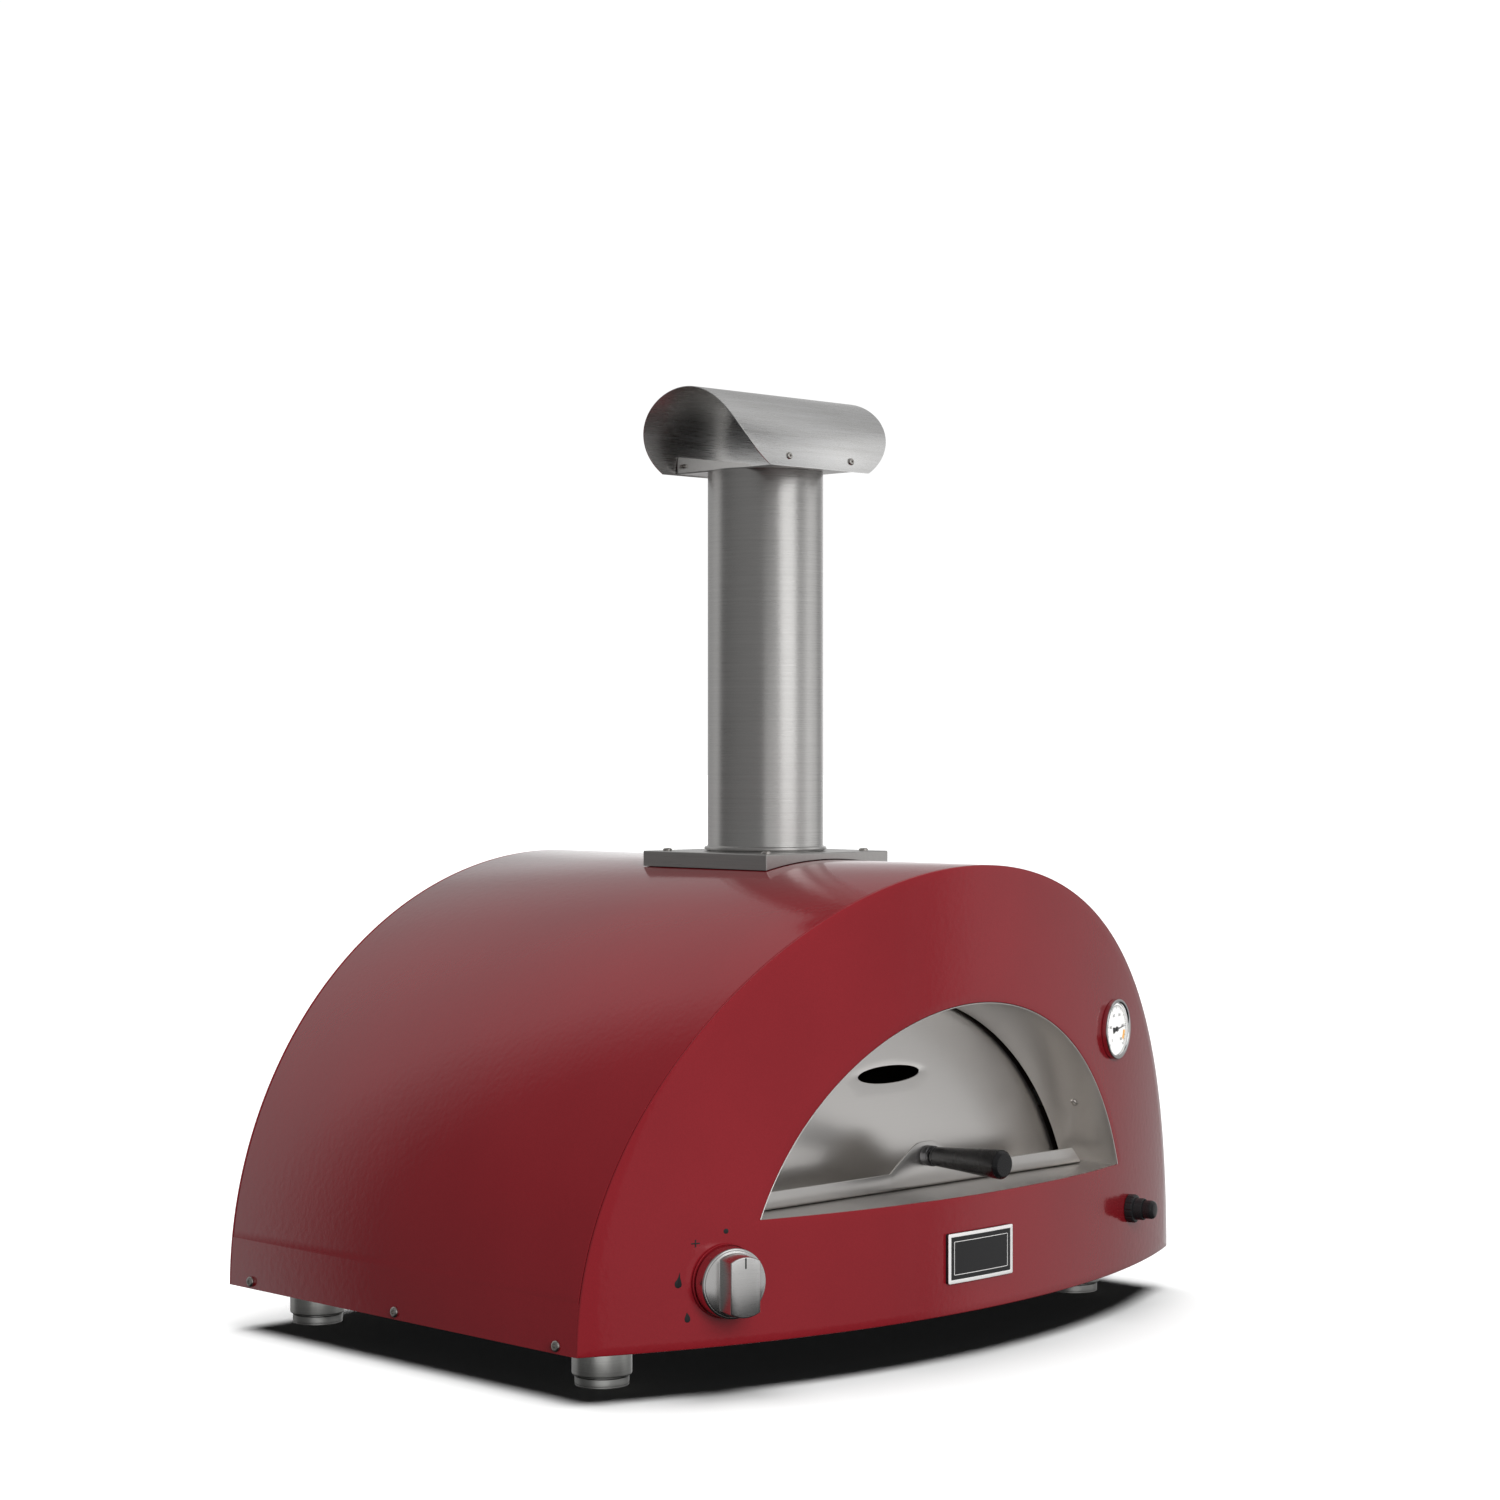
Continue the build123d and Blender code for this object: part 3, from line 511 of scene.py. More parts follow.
def glass():
    """Thin clear window: see-through, with a reflection that grows at grazing angles."""
    f = Finish("dial_glass")
    vector = f.place()
    clear = f.add("BsdfTransparent")
    gloss = f.add("BsdfGlossy")
    f.feed(f.span(f.noise(vector, 120, 3), 0.015, 0.05), gloss.inputs["Roughness"])
    facing = f.add("Fresnel")
    facing.inputs["IOR"].default_value = 1.45
    back = f.add("NewGeometry")
    outer = f.add("Math", operation="GREATER_THAN")
    outer.inputs[0].default_value = 0.5
    f.feed(back.outputs["Backfacing"], outer.inputs[1])
    front = f.add("Math", operation="MULTIPLY")
    f.feed(facing.outputs[0], front.inputs[0])
    f.feed(outer.outputs[0], front.inputs[1])
    f.feed(f.either(front.outputs[0], clear.outputs[0], gloss.outputs[0]),
           f.tree.nodes["Material Output"].inputs["Surface"])
    f.tree.nodes.remove(f.shader)
    return f.material


RED = powder_coat()
PIPE_STEEL = brushed("brushed_flue_steel", (0.7, 0.69, 0.675), (25, 25, 3400), (0.24, 0.38),
                     0.00004, 0.16, "Z", 0.25)
HOOD_STEEL = brushed("brushed_hood_steel", (0.93, 0.92, 0.9), (45, 1700, 1700), (0.22, 0.34),
                     0.00003, 0.2, "X")
PLATE_STEEL = brushed("brushed_plate_steel", (0.6, 0.59, 0.575), (3000, 30, 3000), (0.26, 0.4))
DOOR_STEEL = satin("stainless_steel", (0.68, 0.66, 0.64), 0.27)
# Near-black paint for the liner brackets: black paint, and painted shade that makes the gap between
# the door and the liner read dark.
BLACK_PAINT_AND_GAP_SHADE = paint("black_paint_and_gap_shade", (0.01, 0.01, 0.01), 0.7)
CHAMBER_STEEL = satin("chamber_steel", (0.5, 0.46, 0.41), 0.36, (0.3, 0.24, 0.19))
ZINC = galvanised()
SCREW = fastener()
FOOT_STEEL = brushed("foot_steel", (0.53, 0.53, 0.51), (40, 40, 6500), (0.26, 0.4), 0.00003,
                     0.2)
FOOT_PAD = brushed("foot_pad", (0.34, 0.34, 0.33), (40, 40, 6500), (0.34, 0.5), 0.00003, 0.2)
KNOB_FACE = brushed("knob_steel", (0.78, 0.77, 0.76), (60, 5200, 60), (0.24, 0.38), 0.00002, 0.1)
KNOB_SIDE = polished("knob_side", (0.72, 0.71, 0.7), 0.12)
CHROME = polished("polished_chrome", (0.8, 0.8, 0.8), 0.06)
DIAL_WHITE = paint("dial_face", (0.92, 0.915, 0.9), 0.42)
DIAL_ORANGE = paint("dial_orange", (0.85, 0.42, 0.06), 0.42)
PRINT_BLACK = paint("print_black", (0.012, 0.012, 0.013), 0.4)
NEEDLE = paint("needle_black", (0.008, 0.008, 0.009), 0.35)
GRIP = plastic("black_grip", (0.006, 0.006, 0.0065), 0.24, 0.12)
FERRULE = polished("ferrule_steel", (0.12, 0.12, 0.125), 0.16)
IGNITER = plastic("igniter_black", (0.012, 0.012, 0.013), 0.24)
BRASS = polished("brass", (0.72, 0.52, 0.26), 0.22)
GAS_PIPE = polished("gas_pipe", (0.6, 0.6, 0.6), 0.3)
STONE = stone()
WOOL = fibre("ceramic_fibre", (0.8, 0.79, 0.76))
CERAMIC = paint("electrode_ceramic", (0.78, 0.76, 0.7), 0.3)
SILICONE = paint("lead_silicone", (0.3, 0.03, 0.02), 0.5)
BADGE_RIM = paint("badge_silver", (0.9, 0.89, 0.88), 0.3)
BADGE_FIELD = paint("badge_field", (0.014, 0.014, 0.015), 0.38, 0.00002)
GLASS = glass()


# ---- CAD nodes that keep their shape ----
KEPT = {
    ZINC: ("base_pan", "hearth_support"),
    # The liner brackets take the near-black paint, which is painted shade for the gap behind the
    # door.
    BLACK_PAINT_AND_GAP_SHADE: ("liner_brackets",),
    DOOR_STEEL: ("threshold_plate",),
    CHAMBER_STEEL: ("bulkhead", "chamber_vault", "chamber_back_wall", "burner_shield",
                    "burner_tube"),
    PLATE_STEEL: ("flue_flange", "hood_bracket"),
    PIPE_STEEL: ("flue_throat",),
    SCREW: ("side_screws", "rear_screws", "flange_screws", "hood_screws", "liner_screws",
            "foot_bolts", "handle_bolt", "thermometer_case", "thermometer_probe"),
    KNOB_SIDE: ("valve_stem",),
    BRASS: ("gas_valve", "valve_plunger"),
    GAS_PIPE: ("supply_pipe", "burner_feed"),
    STONE: ("hearth_tiles",),
    WOOL: ("vault_blanket", "rear_blanket", "insulation_board"),
    CERAMIC: ("spark_electrode",),
    SILICONE: ("ignition_lead",),
}
for finish, names in KEPT.items():
    for name in names:
        nodes[name].material_slots[0].material = finish


# ---- body shell ----
def over_arch(start, count):
    """Angles from one foot of an arch to the other, each foot at the angle start."""
    return [start + (math.pi - 2 * start) * i / count for i in range(count + 1)]


def bent_sheet(angles, ends, sheet, outer_r, centre_z, rounding, steps=3):
    """Sheet bent along an arch, its edges rounded. ends(angle) gives its front and back Y."""
    rows = []
    for angle in angles:
        row = []
        for y, depth in slab(*ends(angle), sheet, rounding, steps):
            reach = outer_r - depth
            row.append((reach * math.cos(angle), y, centre_z + reach * math.sin(angle)))
        rows.append(row)
    return skin(rows, caps=True)


NOTCH_ANGLE = math.asin((NOTCH_Z - FLOOR_CLEAR) / BODY_R)


def roof():
    """Arched sheet. Below the notches it reaches closer to the end panels than above them."""
    def ends(angle):
        gap = TIGHT if min(angle, math.pi - angle) < NOTCH_ANGLE else SEAM
        return bow_y(BODY_R * math.cos(angle), SHEET + gap), REAR_Y - SHEET - gap

    step = 1e-4
    angles = over_arch(0, 144)
    for side in (NOTCH_ANGLE, math.pi - NOTCH_ANGLE):
        angles += [side - step, side + step]
    return bent_sheet(sorted(angles), ends, SHEET, BODY_R, FLOOR_CLEAR, 0.55)


def cut_hole(obj, radius, low, high):
    """Cuts a round hole along Z on the flue's axis."""
    cutter = linked("cutter", bpy.data.meshes.new("cutter"))
    points, faces = lathe([(radius, low), (radius, high)], 72)
    cutter.data.from_pydata([at(*p) for p in points], [], faces)
    tool = obj.modifiers.new("hole", "BOOLEAN")
    tool.operation = "DIFFERENCE"
    tool.solver = "EXACT"
    tool.object = cutter
    ready = obj.evaluated_get(bpy.context.evaluated_depsgraph_get())
    cut = bpy.data.meshes.new_from_object(ready)
    obj.modifiers.clear()
    obj.data = cut
    bpy.data.objects.remove(cutter)


def end_return(front):
    """Turned-in edge of an end panel, just inside the roof sheet."""
    def ends(angle):
        x = BODY_R * math.cos(angle)
        if front:
            return bow_y(x, SHEET), bow_y(x, SHEET + RETURN)
        return REAR_Y - SHEET - RETURN, REAR_Y - SHEET

    gap = 0.2
    return bent_sheet(over_arch(NOTCH_ANGLE, 120), ends, SHEET, BODY_R - SHEET - gap, FLOOR_CLEAR,
                      0.4, 2)


def reach_circle(angle, centre_z, radius, arc_z):
    """Distance from (0, centre_z) to a circle about (0, arc_z)."""
    dz = centre_z - arc_z
    along = dz * math.sin(angle)
    return -along + math.sqrt(along * along - dz * dz + radius * radius)


def reach_floor(angle, centre_z, floor_z):
    """Distance from (0, centre_z) down to a level line."""
    return (floor_z - centre_z) / math.sin(angle) if math.sin(angle) < -1e-6 else math.inf


def segment_reach(centre_z, radius, arc_z, floor_z):
    """Outline of a round-topped shape: gives the reach by angle and inset."""
    def reach(angle, amount):
        return min(reach_circle(angle, centre_z, radius - amount, arc_z),
                   reach_floor(angle, centre_z, floor_z + amount))
    half = math.sqrt(radius ** 2 - (floor_z - arc_z) ** 2)
    corner = math.atan2(floor_z - centre_z, half)
    return reach, [corner % (2 * math.pi), (math.pi - corner) % (2 * math.pi)]


def windowed_sheet(centre_z, outer, window, corners, surface, edge, inner_edge, divisions, count):
    """Sheet with one opening, in rows that fan out from (0, centre_z).

    outer and window give the reach by angle and inset, surface maps (x, z, depth) to a point,
    and the edges are rounding radii.
    """
    angles = sorted({2 * math.pi * i / count for i in range(count)} | set(corners))
    rows = []
    for angle in angles:
        spots = [(window(angle, 0), SHEET)]
        for i in range(4):
            turn = math.radians(30 * i)
            spots.append((window(angle, -inner_edge * (1 - math.cos(turn))),
                          inner_edge * (1 - math.sin(turn))))
        inside, outside = window(angle, -inner_edge), outer(angle, edge)
        for i in range(1, divisions):
            spots.append((inside + (outside - inside) * i / divisions, 0.0))
        for i in range(4):
            turn = math.radians(30 * i)
            spots.append((outer(angle, edge * (1 - math.sin(turn))), edge * (1 - math.cos(turn))))
        spots.append((outer(angle, 0), SHEET))
        for i in range(divisions - 1, 0, -1):
            spots.append((inside + (outside - inside) * i / divisions, SHEET))
        rows.append([surface(reach * math.cos(angle), centre_z + reach * math.sin(angle), depth)
                     for reach, depth in spots])
    return skin(rows, loop=True)


def front():
    """Bowed front panel with the mouth in it."""
    centre = 182.0
    outer, outer_corners = segment_reach(centre, BODY_R, FLOOR_CLEAR, FLOOR_CLEAR)
    window, window_corners = segment_reach(centre, MOUTH_R, MOUTH_Z, HEARTH_Z)
    face = windowed_sheet(centre, outer, window, outer_corners + window_corners,
                          lambda x, z, depth: (x, bow_y(x, depth), z), 0.9, 0.5, 14, 300)
    return merged(face, end_return(True))


def slot_outline(cx, cz, length, height):
    """Outline of a level slot with round ends."""
    r = height / 2
    reach = length / 2 - r
    return arc(cx + reach, cz, r, -90, 90, 10) + arc(cx - reach, cz, r, 90, 270, 10)


def pierced_plate(outline, holes, thick, bevel):
    """Flat plate drawn in local XY with rounded edges, as (points, faces) centred on Z = 0."""
    curve = bpy.data.curves.new("plate", "CURVE")
    curve.dimensions = "2D"
    curve.fill_mode = "BOTH"
    curve.extrude = thick / 2 - bevel
    curve.bevel_depth = bevel
    curve.bevel_resolution = 2
    curve.offset = -bevel
    for loop in [outline] + holes:
        spline = curve.splines.new("POLY")
        spline.points.add(len(loop) - 1)
        for point, (x, y) in zip(spline.points, loop):
            point.co = (x, y, 0, 1)
        spline.use_cyclic_u = True
    return drawn(curve)


def rear():
    """Flat back with two rows of vents and the hole for the gas inlet."""
    vent_length, vent_height, column_pitch, row_pitch, low_row_z = 34, 6, 48, 16, 55
    outline = arc(0, FLOOR_CLEAR, BODY_R, 0, 180, 160)
    holes = [slot_outline(column_pitch * column, low_row_z + row_pitch * row, vent_length,
                          vent_height) for column in range(-3, 4) for row in range(2)]
    holes.append(arc(INLET_X, INLET_Z, INLET_HOLE_R, 0, 352.5, 47))
    points, faces = pierced_plate(outline, holes, SHEET, 0.45)
    flat = [(x, REAR_Y - SHEET / 2 - z, y) for x, y, z in points], faces
    return merged(flat, end_return(False))


roof_shell = piece("roof_skin", roof(), "oven", RED, ["roof_shell"])
cut_hole(roof_shell, FLUE_HOLE_R, BODY_R + 20, BODY_R + 50)
piece("front_skin", front(), "oven", RED, ["front_panel"])
piece("rear_skin", rear(), "oven", RED, ["rear_panel"])


# ---- feet ----
def feet(profile):
    """One ring-shaped part at each of the four feet."""
    return merged(*[moved(Matrix.Translation((x, y, 0)), lathe(profile, 80, True))
                    for x, y in FEET])


leg = [(4.4, 8.8), (22.5, 8.8), (22.9, 8.95), (23.3, 9.4), (23.45, 10.0), (23.45, 36.6),
       (23.3, 37.3), (22.8, 37.6), (4.4, 37.6)]
pad = [(4.4, 5.0), (7.2, 5.0), (7.2, 0.3), (7.5, 0.0), (20.2, 0.0), (20.7, 0.15), (21.1, 0.7),
       (21.1, 1.7), (20.75, 1.9), (20.75, 2.3), (21.2, 2.5), (21.2, 6.6), (21.0, 7.15), (20.5, 7.4),
       (18.5, 7.5), (18.4, 8.7), (4.4, 8.7)]
piece("foot_uppers", feet(leg), "oven", FOOT_STEEL, ["foot_legs"])
piece("foot_glides", feet(pad), "oven", FOOT_PAD, ["foot_pads"])


# ---- mouth and door ----
def liner():
    """Lining of the mouth, from just behind the bowed front to the inner wall."""
    def ends(angle):
        return bow_y(LINER_R * math.cos(angle), 0.25), LINER_REAR_Y

    foot = math.asin((HEARTH_Z - MOUTH_Z) / LINER_R)
    return bent_sheet(over_arch(foot, 120), ends, LINER_SHEET, LINER_R + LINER_SHEET, MOUTH_Z, 0.4)


def door_face():
    """Upright sheet of the door with its elliptical slot."""
    centre, slot_length, slot_height = 220.4, 75.5, 14.3
    outer, corners = segment_reach(centre, DOOR_R, MOUTH_Z, DOOR_Z)

    def window(angle, amount):
        a, b = slot_length / 2 - amount, slot_height / 2 - amount
        return a * b / math.hypot(b * math.cos(angle), a * math.sin(angle))

    return windowed_sheet(centre, outer, window, corners,
                          lambda x, z, depth: (x, DOOR_Y + depth, z), 0.45, 0.45, 8, 240)


HILL_HALF = 44
HILL = smooth([(-HILL_HALF, LIP_TOP), (-26, 158.6), (-12.5, 167.0), (0, 168.5), (12.5, 167.0),
               (26, 158.6), (HILL_HALF, LIP_TOP)], 6)


def lip_height(x):
    """Top of the door's lip: level, with a hill in the middle."""
    if abs(x) >= HILL_HALF:
        return LIP_TOP
    for (x0, z0), (x1, z1) in zip(HILL, HILL[1:]):
        if x0 <= x <= x1:
            return max(LIP_TOP, z0 + (z1 - z0) * (x - x0) / (x1 - x0))
    return LIP_TOP


def door_shelf():
    """Shelf and lip as one bent sheet, section by section along X. The lip's ends lean in."""
    half, inner, full_lean = 203, 1.6, 13
    outer = inner + SHEET
    stations = [-half + 2 * half * i / 40 for i in range(41)] + [x for x, z in HILL]
    stations += [-half + 0.4, half - 0.4]
    rows = []
    for s in sorted(set(stations)):
        top = lip_height(s)
        section = [(DOOR_Y + 0.3, 135.5), (DOOR_Y - 0.02, 135.5)]
        section += arc(DOOR_Y - inner, DOOR_Z + SHEET + inner, inner, 0, -90, 4)
        section += arc(LIP_Y + SHEET + inner, DOOR_Z + SHEET + inner, inner, 270, 180, 5)
        section += [(LIP_Y + SHEET, top - 0.6), (LIP_Y + SHEET - 0.18, top - 0.18),
                    (LIP_Y + SHEET / 2, top), (LIP_Y + 0.18, top - 0.18), (LIP_Y, top - 0.6)]
        section += arc(LIP_Y + outer, DOOR_Z + outer, outer, 180, 270, 6) + [(DOOR_Y + 0.3, DOOR_Z)]
        row = []
        for y, z in section:
            lean = 0
            if y < LIP_Y + outer + 0.01 and abs(s) > HILL_HALF:
                lean = full_lean * min(1.0, max(0.0, (z - DOOR_Z) / (LIP_TOP - DOOR_Z)))
            row.append((s - s / half * lean, y, z))
        rows.append(row)
    return skin(rows, caps=True)


piece("mouth_band", liner(), "oven", DOOR_STEEL, ["mouth_liner"])
piece("door_sheet", merged(door_face(), door_shelf()), "door", DOOR_STEEL, ["door_panel"])

grip_length = 74.5
grip = [(3.1, 0), (6.9, 0.0), (7.5, 0.25), (7.85, 0.8), (7.9, 2.2), (7.55, 2.5), (7.55, 3.1),
        (7.95, 3.4)]
grip += smooth([(8.1, 6), (9.2, 26), (11.2, 56), (11.8, grip_length - 4)], 8)
butt = ((11.75, 3.2), (11.5, 2.4), (10.2, 1.0), (9.9, 0.35), (9.4, 0.02), (8.8, 0), (3.0, 0))
grip += [(r, grip_length - back) for r, back in butt]
piece("handle_body", lathe(grip, 96), "door", GRIP, ["handle_grip"],
      turned_to(0, LIP_Y - 9.5, HANDLE_Z), 40)
collar = [(3.2, 0), (7.6, 0.0), (8.3, 0.3), (8.5, 0.9), (8.5, 6.4), (8.1, 6.7), (8.1, 7.2),
          (8.5, 7.5), (8.5, 8.6), (8.2, 9.1), (7.6, 9.35), (3.2, 9.35)]
piece("handle_collar", lathe(collar, 96), "door", FERRULE, ["handle_ferrule"],
      turned_to(0, LIP_Y - 0.05, HANDLE_Z))


# ---- flue ----
def pipe():
    """Tube with a rolled foot and a lapped seam down its back."""
    foot = [(PIPE_BORE_R, 0.4), (49.2, 0.05), (50.4, 0), (51.6, 0.05), (52.5, 0.5), (52.95, 1.3),
            (52.95, 2.1), (52.5, 2.9), (51.6, 3.25), (50.7, 3.35), (50.2, 3.8), (PIPE_R, 4.8)]
    top = [(PIPE_R, 0.3), (49.85, 0), (49.2, 0), (PIPE_BORE_R, 0.3)]
    profile = [(r, PIPE_FOOT_Z + rise) for r, rise in foot]
    profile += [(r, PIPE_TOP_Z - drop) for r, drop in top]

    def seam(r, z, angle):
        off = math.degrees(abs(angle - math.pi / 2))
        return r + (0.3 * max(0.0, 1 - off / 3.2) if 49.5 < r < 50.1 else 0)

    return lathe(profile, 240, True, seam)


def rim_length(z):
    """Half length of the cowl at a height: an arc through three points."""
    (x1, z1), (x2, z2), (x3, z3) = (60.5, COWL_FOOT_Z), (90.5, 762.0), (97.0, 797.4)
    a, b = x2 - x1, z2 - z1
    c, d = x3 - x1, z3 - z1
    e = a * (x1 + x2) + b * (z1 + z2)
    f = c * (x1 + x3) + d * (z1 + z3)
    g = 2 * (a * (z3 - z2) - b * (x3 - x2))
    cx, cz = (d * e - b * f) / g, (a * f - c * e) / g
    return cx + math.sqrt(max(0, (x1 - cx) ** 2 + (z1 - cz) ** 2 - (z - cz) ** 2))


def cowl():
    """Half barrel of sheet over the pipe, its ends swept back to its feet."""
    legs = COWL_FOOT_Z - COWL_AXIS_Z
    path = [(-1, 0, legs), (-1, 0, -1.0)]
    path += [(-math.cos(math.pi * i / 96), math.sin(math.pi * i / 96), 0) for i in range(97)]
    path += [(1, 0, -1.0), (1, 0, legs)]
    rows = []
    for cy, cz, drop in path:
        z = COWL_AXIS_Z + COWL_R * cz + drop
        end = rim_length(min(COWL_TOP_Z, max(COWL_FOOT_Z, z)))
        row = []
        for x, depth in slab(-1, 1, 1.0, 0.4):
            reach = COWL_R - depth
            row.append((math.copysign(end - (1 - abs(x)), x), reach * cy,
                        COWL_AXIS_Z + reach * cz + drop))
        rows.append(row)
    return skin(rows, caps=True)


piece("flue_tube", pipe(), "flue", PIPE_STEEL, ["flue_pipe"])
piece("cowl_shell", cowl(), "flue", HOOD_STEEL, ["hood"])


# ---- gas knob ----
KNOB = on_bow(-249.5, 87.0)
bar_half, bar_r = 12.5, 23
tip = math.degrees(math.asin(bar_half / bar_r))
bar = arc(0, 0, bar_r, 90 - tip, 90 + tip, 14) + arc(0, 0, bar_r, 270 - tip, 270 + tip, 14)
skirt = [(9, 3.9), (24.4, 3.9), (24.5, 3.85), (26.6, 3.85), (27, 4.3), (27, 14.6), (26.85, 15.2),
         (26.4, 15.75), (25.8, 16.0), (25.2, 16.05), (25.0, 16.3), (24.6, 16.5), (4.1, 16.5)]
piece("knob_disc", lathe(skirt, 128), "control_knob", KNOB_SIDE, ["knob"], KNOB)
grip_bar = stack(bar, [(-0.9, 16.5), (-0.45, 16.65), (-0.12, 17.0), (0, 17.5), (0, 33.2),
                       (0.15, 33.9), (0.5, 34.3), (1.1, 34.5)])
piece("knob_grip", grip_bar, "control_knob", KNOB_FACE, ["knob_bar"], KNOB)
pointer = stack([(x, y + 18.2) for x, y in rounded_box(1.3, 8.2, 0.6)],
                [(0, 34.3), (0, 34.5), (0.1, 34.54)])
piece("knob_pointer", pointer, "control_knob", PRINT_BLACK, (), KNOB)
cup = [(6.4, 0.3), (27.9, 0.3), (28.35, 0.5), (28.5, 1.0), (28.5, 1.6), (28.3, 2.1), (27.9, 2.3),
       (27.7, 2.2), (27.6, 1.8), (27.6, 1.0), (27.3, 0.6), (6.4, 0.6)]
piece("knob_cup", lathe(cup, 128, True), "oven", RED, ["knob_bezel"], KNOB)


# ---- igniter ----
SPARK = on_bow(244.0, 89.4)


def notched(r, z, angle):
    """Radius of the nut: twelve round grooves along its side."""
    centre_r, groove_r, pitch = 12.9, 1.2, math.radians(30)
    off = abs((angle + pitch / 2) % pitch - pitch / 2)
    across = centre_r * math.sin(off)
    if across >= groove_r:
        return r
    return min(r, centre_r * math.cos(off) - math.sqrt(groove_r ** 2 - across * across))


nut = [(9.55, 0.35), (12.0, 0.35), (12.25, 0.7), (12.25, 5.6), (12.1, 6.4), (11.7, 7.1),
       (11.0, 7.45), (9.8, 7.5), (9.55, 7.3)]
piece("igniter_ring", lathe(nut, 360, True, notched), "oven", IGNITER, ["igniter_nut"],
      SPARK)
barrel = [(0.01, -44), (9.2, -44), (9.5, -43.6), (9.5, 14.0), (9.4, 14.5), (9.1, 14.9), (8.6, 15.0),
          (8.25, 14.8), (8.15, 14.3), (8.1, 2.2), (0.01, 2.2)]
piece("igniter_barrel", lathe(barrel, 96), "oven", IGNITER, ["igniter_body"], SPARK)
press = [(0.01, 8), (7.9, 8), (8, 8.2), (8, 21.0)]
press += arc(4.6, 21.4, 3.4, 0, 78, 8) + [(3.0, 24.95), (0.01, 25)]
piece("igniter_press", lathe(press, 96), "igniter_button", IGNITER, ["igniter_button"],
      SPARK)


# ---- thermometer ----
DIAL = on_bow(211.0, 249.0)
ZERO_ANGLE, NEEDLE_ANGLE = 225, 6
PRINT_FOOT, PRINT_TOP = 2.45, 2.56
rim = [(22.6, 0.9), (23.6, 0.25), (25.7, 0.25), (26, 0.8), (26, 4.0)]
rim += arc(25.0, 4.1, 1.0, 0, 90, 6) + [(24.3, 5.1), (23.6, 4.9), (22.9, 4.35), (22.6, 3.9)]
plate = [(0.9, 1.0), (22.2, 1.0), (22.3, 1.2), (22.3, 2.35), (22.15, 2.5), (0.9, 2.5)]
pane = [(0.01, 3.8), (0.01, 4.3), (22.4, 4.3), (22.5, 4.2), (22.5, 3.9), (22.4, 3.8)]
piece("dial_rim", lathe(rim, 128, True), "oven", CHROME, ["thermometer_bezel"],
      DIAL)
piece("dial_plate", lathe(plate, 96, True), "oven", DIAL_WHITE, ["thermometer_dial"],
      DIAL)
piece("dial_window", lathe(pane, 96), "oven", GLASS, ["thermometer_lens"], DIAL)


def sector(inner, outer, start, end, steps, top=PRINT_TOP):
    """Flat arc printed on the dial."""
    outline = arc(0, 0, outer, start, end, steps) + arc(0, 0, inner, end, start, steps)
    return skin([[(x, y, z) for x, y in outline] for z in (PRINT_FOOT, top)], caps=True)


ticks = []
for step in range(51):
    angle = ZERO_ANGLE - 5.4 * step
    inner, half = (17.6, 0.9) if step % 5 == 0 else (18.7, 0.45)
    ticks.append(sector(inner, 20.2, angle - half, angle + half, 1))
ticks.append(sector(20.2, 20.55, -45.5, 225.5, 72))
piece("dial_scale", merged(*ticks), "oven", PRINT_BLACK, (), DIAL)
piece("dial_zone", sector(14.6, 18.6, -34, -6, 10, 2.55), "oven", DIAL_ORANGE, (),
      DIAL)


def figures():
    """Plain numbers round the scale."""
    parts = []
    for step, (x, y) in enumerate(arc(0, 0, 13.2, ZERO_ANGLE, ZERO_ANGLE - 270, 5)):
        text = bpy.data.curves.new("figure", "FONT")
        text.body = str(100 * step)
        text.size = 3.4
        text.align_x = text.align_y = "CENTER"
        text.extrude = 0.05
        text.resolution_u = 3
        parts.append(moved(Matrix.Translation((x, y, 2.52)), drawn(text)))
    return merged(*parts)


piece("dial_figures", figures(), "oven", PRINT_BLACK, (), DIAL)
needle = [(-7.6, -2.6), (-6.9, -2.75), (-2.0, -0.9), (4, -0.5), (17.4, -0.14)]
needle += [(x, -y) for x, y in reversed(needle)]
blade = moved(Matrix.Rotation(math.radians(NEEDLE_ANGLE), 4, "Z"),
              stack(needle, [(0, 2.8), (0, 3.25), (0.08, 3.4)]))
hub = lathe([(0.8, -6), (0.8, 2.5), (2.2, 2.5), (2.2, 3.5), (1.9, 3.8), (0.01, 3.85)], 48)
piece("needle_blade", merged(blade, hub), "dial_needle", NEEDLE, ["thermometer_needle"],
      DIAL)


# ---- badge and printed marks ----
def bowed(points_2d, cx, cz, height):
    """Points drawn about (cx, cz) on the front, standing proud of it."""
    return [(cx + x, bow_y(cx + x, -height), cz + y) for x, y in points_2d]


def badge_ring(loops):
    """Ring of rounded rectangles, each (width, height, corner, height above the front)."""
    return skin([bowed(rounded_box(w, h, corner, 4, 16), 0, BADGE_Z, out)
                 for w, h, corner, out in loops], loop=True)


def badge_back():
    """Dark tray and its plain field."""
    half_x, half_z, back, face = 36.55, 17.05, -2.3, -3.1
    rows = []
    for k in range(25):
        x = -half_x + 2 * half_x * k / 24
        rows.append([(x, bow_y(x, depth), BADGE_Z + z) for depth, z in
                     ((back, -half_z), (face, -half_z), (face, half_z), (back, half_z))])
    tray = [(79, 40, 1.4, 0.05), (79, 40, 1.4, 2.75), (73.3, 34.3, 0.6, 2.75),
            (73.3, 34.3, 0.6, 0.05)]
    return merged(badge_ring(tray), skin(rows, caps=True))


